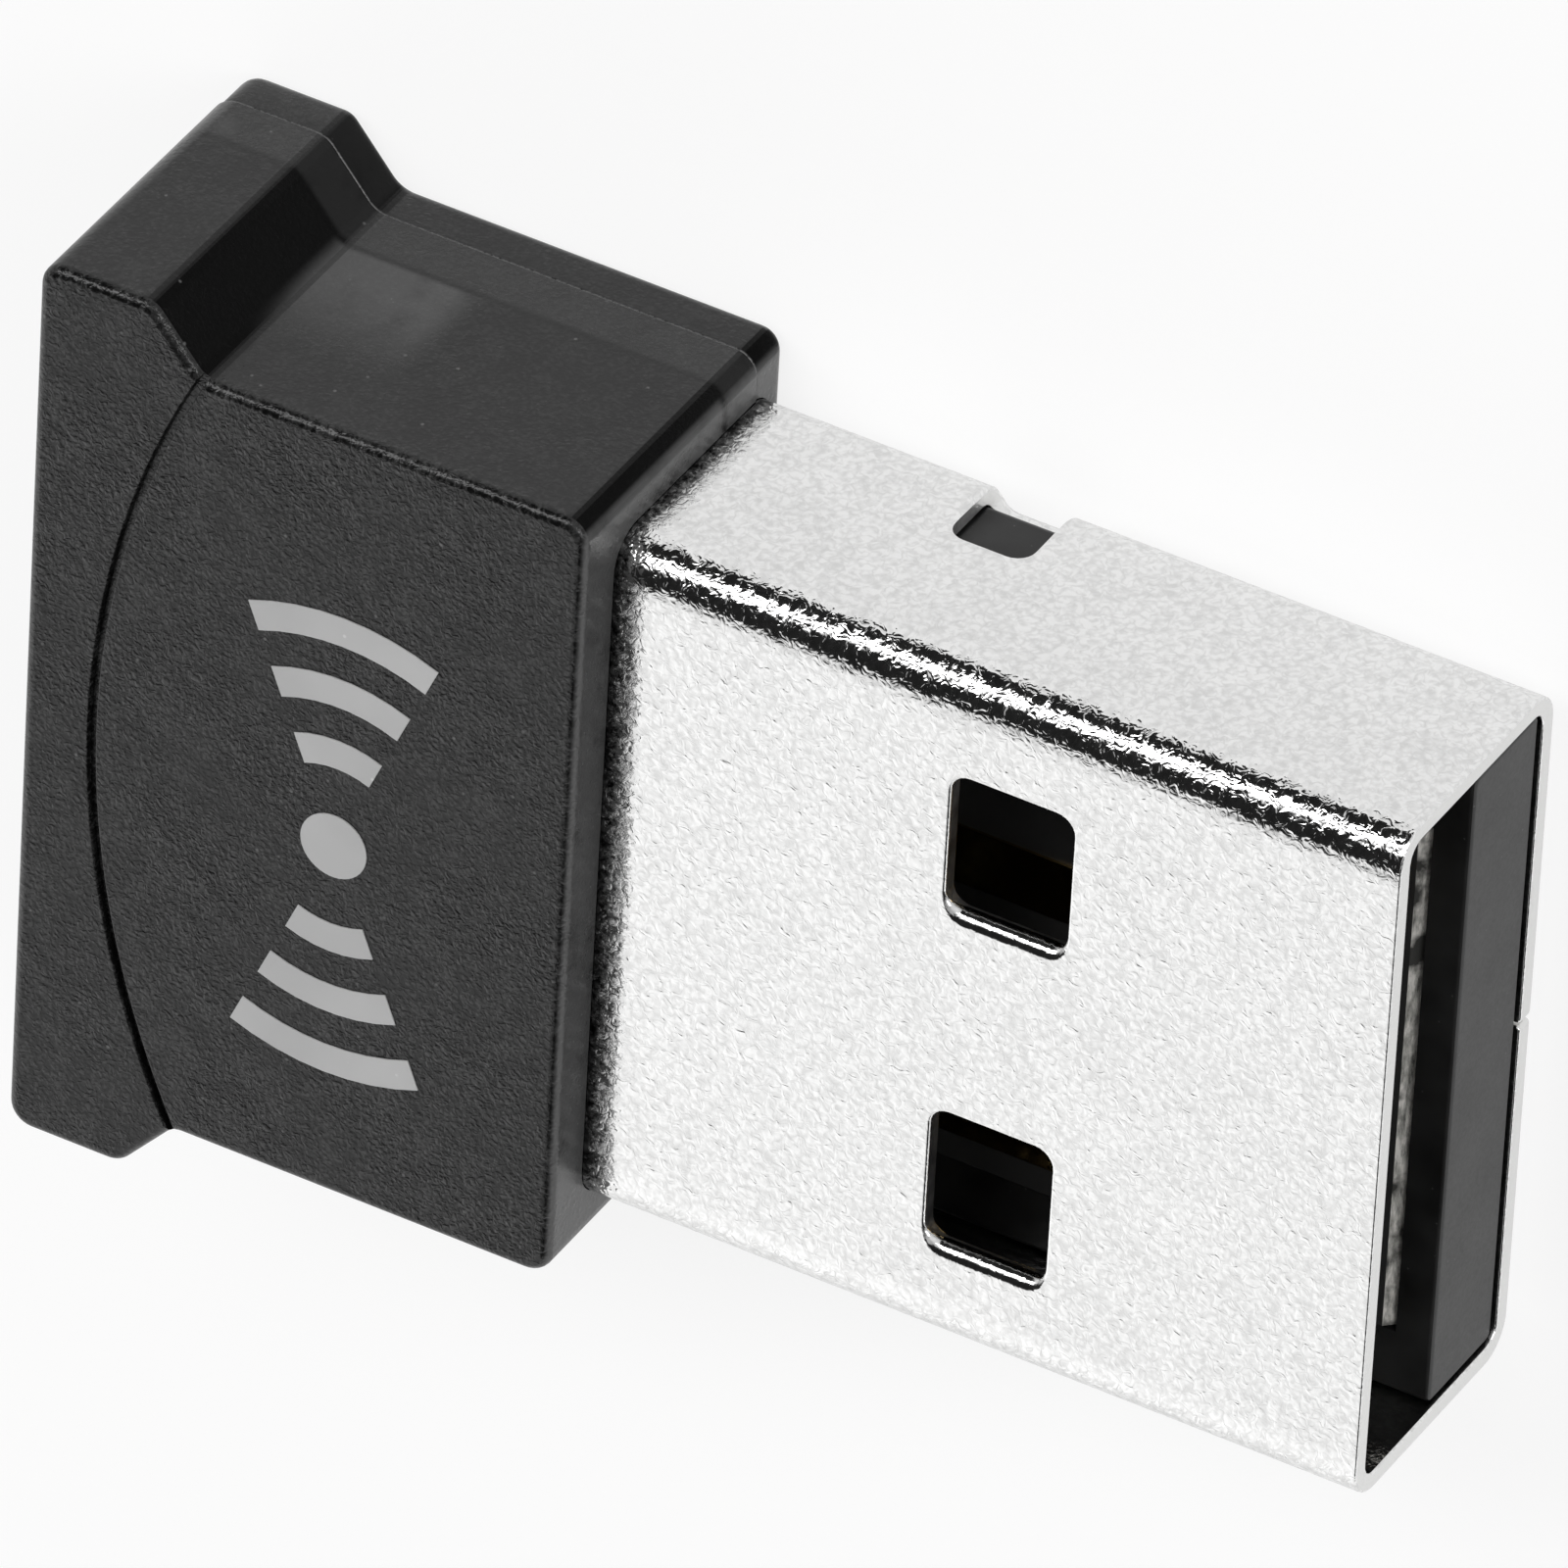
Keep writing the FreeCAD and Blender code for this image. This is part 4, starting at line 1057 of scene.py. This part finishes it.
FLOOR_HALF = 10
FLOOR_GLOW = 0.75
floor_mesh = bpy.data.meshes.new("floor")
floor_mesh.from_pydata([(*p, 0) for p in rectangle(-FLOOR_HALF, FLOOR_HALF, -FLOOR_HALF, FLOOR_HALF)], [],
                       [(0, 1, 2, 3)])
floor = put_in_scene("floor", floor_mesh)
material = bpy.data.materials.new("floor")
material.use_nodes = True
tree = material.node_tree
tree.nodes.remove(tree.nodes["Principled BSDF"])
ray = add_node(tree, "ShaderNodeLightPath", {}).outputs
seen = calculated(tree, "MAXIMUM", ray["Is Camera Ray"], ray["Is Glossy Ray"])
seen = calculated(tree, "MAXIMUM", seen, ray["Is Transmission Ray"])
paint = add_node(tree, "ShaderNodeBsdfDiffuse", {"Color": grey(0.85)}).outputs[0]
strength = ranged(tree, ray["Is Camera Ray"], 0.90, 1.08)
glow = add_node(tree, "ShaderNodeEmission", {"Color": grey(1), "Strength": strength}).outputs[0]
share = calculated(tree, "MULTIPLY", seen, FLOOR_GLOW)
blend = add_node(tree, "ShaderNodeMixShader", {0: share, 1: paint, 2: glow}).outputs[0]
tree.links.new(blend, tree.nodes["Material Output"].inputs["Surface"])
floor.data.materials.append(material)

# The tent's levels lie round an arc in degrees, from the horizon behind the object, overhead, to the
# one in front. The black cards hang on the left, and the front card on the right.
BLACK_CARDS = [(0, 0.9), (38, 1.12), (50, 0.98), (56, 0.80), (60, 0.015), (112, 0.015), (117, 0.9),
               (136, 0.9), (141, 0.015), (180, 0.015)]
TENT = [(0, 1.0), (50, 1.0), (75, 0.45), (110, 0.45), (130, 0.75), (150, 0.75), (180, 0.5)]
FRONT_CARD = [(26, 0.0), (34, 1.0), (78, 1.0), (92, 0.0)]
FRONT_CARD_TONE = 0.02
WINDOW_LIGHT = (0.755, 0.369, 0.551)
WINDOW_GLINT = 4.0

world = bpy.data.worlds.new("studio")
bpy.context.scene.world = world
world.use_nodes = True
tree = world.node_tree
direction = add_node(tree, "ShaderNodeTexCoord", {}).outputs["Generated"]
x, y, z = add_node(tree, "ShaderNodeSeparateXYZ", {"Vector": direction}).outputs
turn = calculated(tree, "ARCTAN2", z, calculated(tree, "MULTIPLY", y, -1.0))
half_turn = calculated(tree, "DIVIDE", turn, math.pi)


def over_arc(stops):
    """A level round the arc."""
    return grey_ramp(tree, half_turn, [(degrees / 180, level) for degrees, level in stops])


def beside(start, end):
    """A mask that rises between two places across the tent."""
    return mask_of(tree, x, start, end, "SMOOTHSTEP")


black_side = calculated(tree, "MULTIPLY", beside(-0.85, -0.65), beside(0.02, -0.10))
cards = scaled_by(tree, over_arc(BLACK_CARDS), ranged(tree, x, 1.35, 0.65, -0.72, -0.02))
front_side = calculated(tree, "MULTIPLY", beside(0.02, 0.16), over_arc(FRONT_CARD))
tent = mixed(tree, front_side, mixed(tree, black_side, over_arc(TENT), cards), grey(FRONT_CARD_TONE))

# A small bright patch of the tent that the rolled edges of the steel's windows reflect.
toward = add_node(tree, "ShaderNodeVectorMath", {0: direction, 1: WINDOW_LIGHT}, operation="DOT_PRODUCT")
glint = ranged(tree, toward.outputs["Value"], 0.0, WINDOW_GLINT, 0.975, 0.99, "SMOOTHSTEP")
tent = add_node(tree, "ShaderNodeVectorMath", {0: tent, 1: glint}).outputs[0]
ray = add_node(tree, "ShaderNodeLightPath", {}).outputs
tree.links.new(mixed(tree, ray["Is Camera Ray"], tent, grey(1)), tree.nodes["Background"].inputs["Color"])
tree.nodes["Background"].inputs["Strength"].default_value = 1.0

KEY_FROM = Vector((-0.371, 0.597, 0.711))
KEY_DISTANCE = 0.5
KEY_RADIANCE = 4.0
KEY_SIZE = (0.46, 0.15)
lamp_data = bpy.data.lights.new("key", "AREA")
lamp_data.shape = "RECTANGLE"
lamp_data.size, lamp_data.size_y = KEY_SIZE
lamp_data.energy = KEY_RADIANCE * KEY_SIZE[0] * KEY_SIZE[1] * math.pi
lamp = put_in_scene("key", lamp_data)
lamp.location = KEY_FROM.normalized() * KEY_DISTANCE
lamp.rotation_mode = "QUATERNION"
lamp.rotation_quaternion = KEY_FROM.to_track_quat("Z", "Y")

bpy.context.scene.view_settings.view_transform = "Standard"
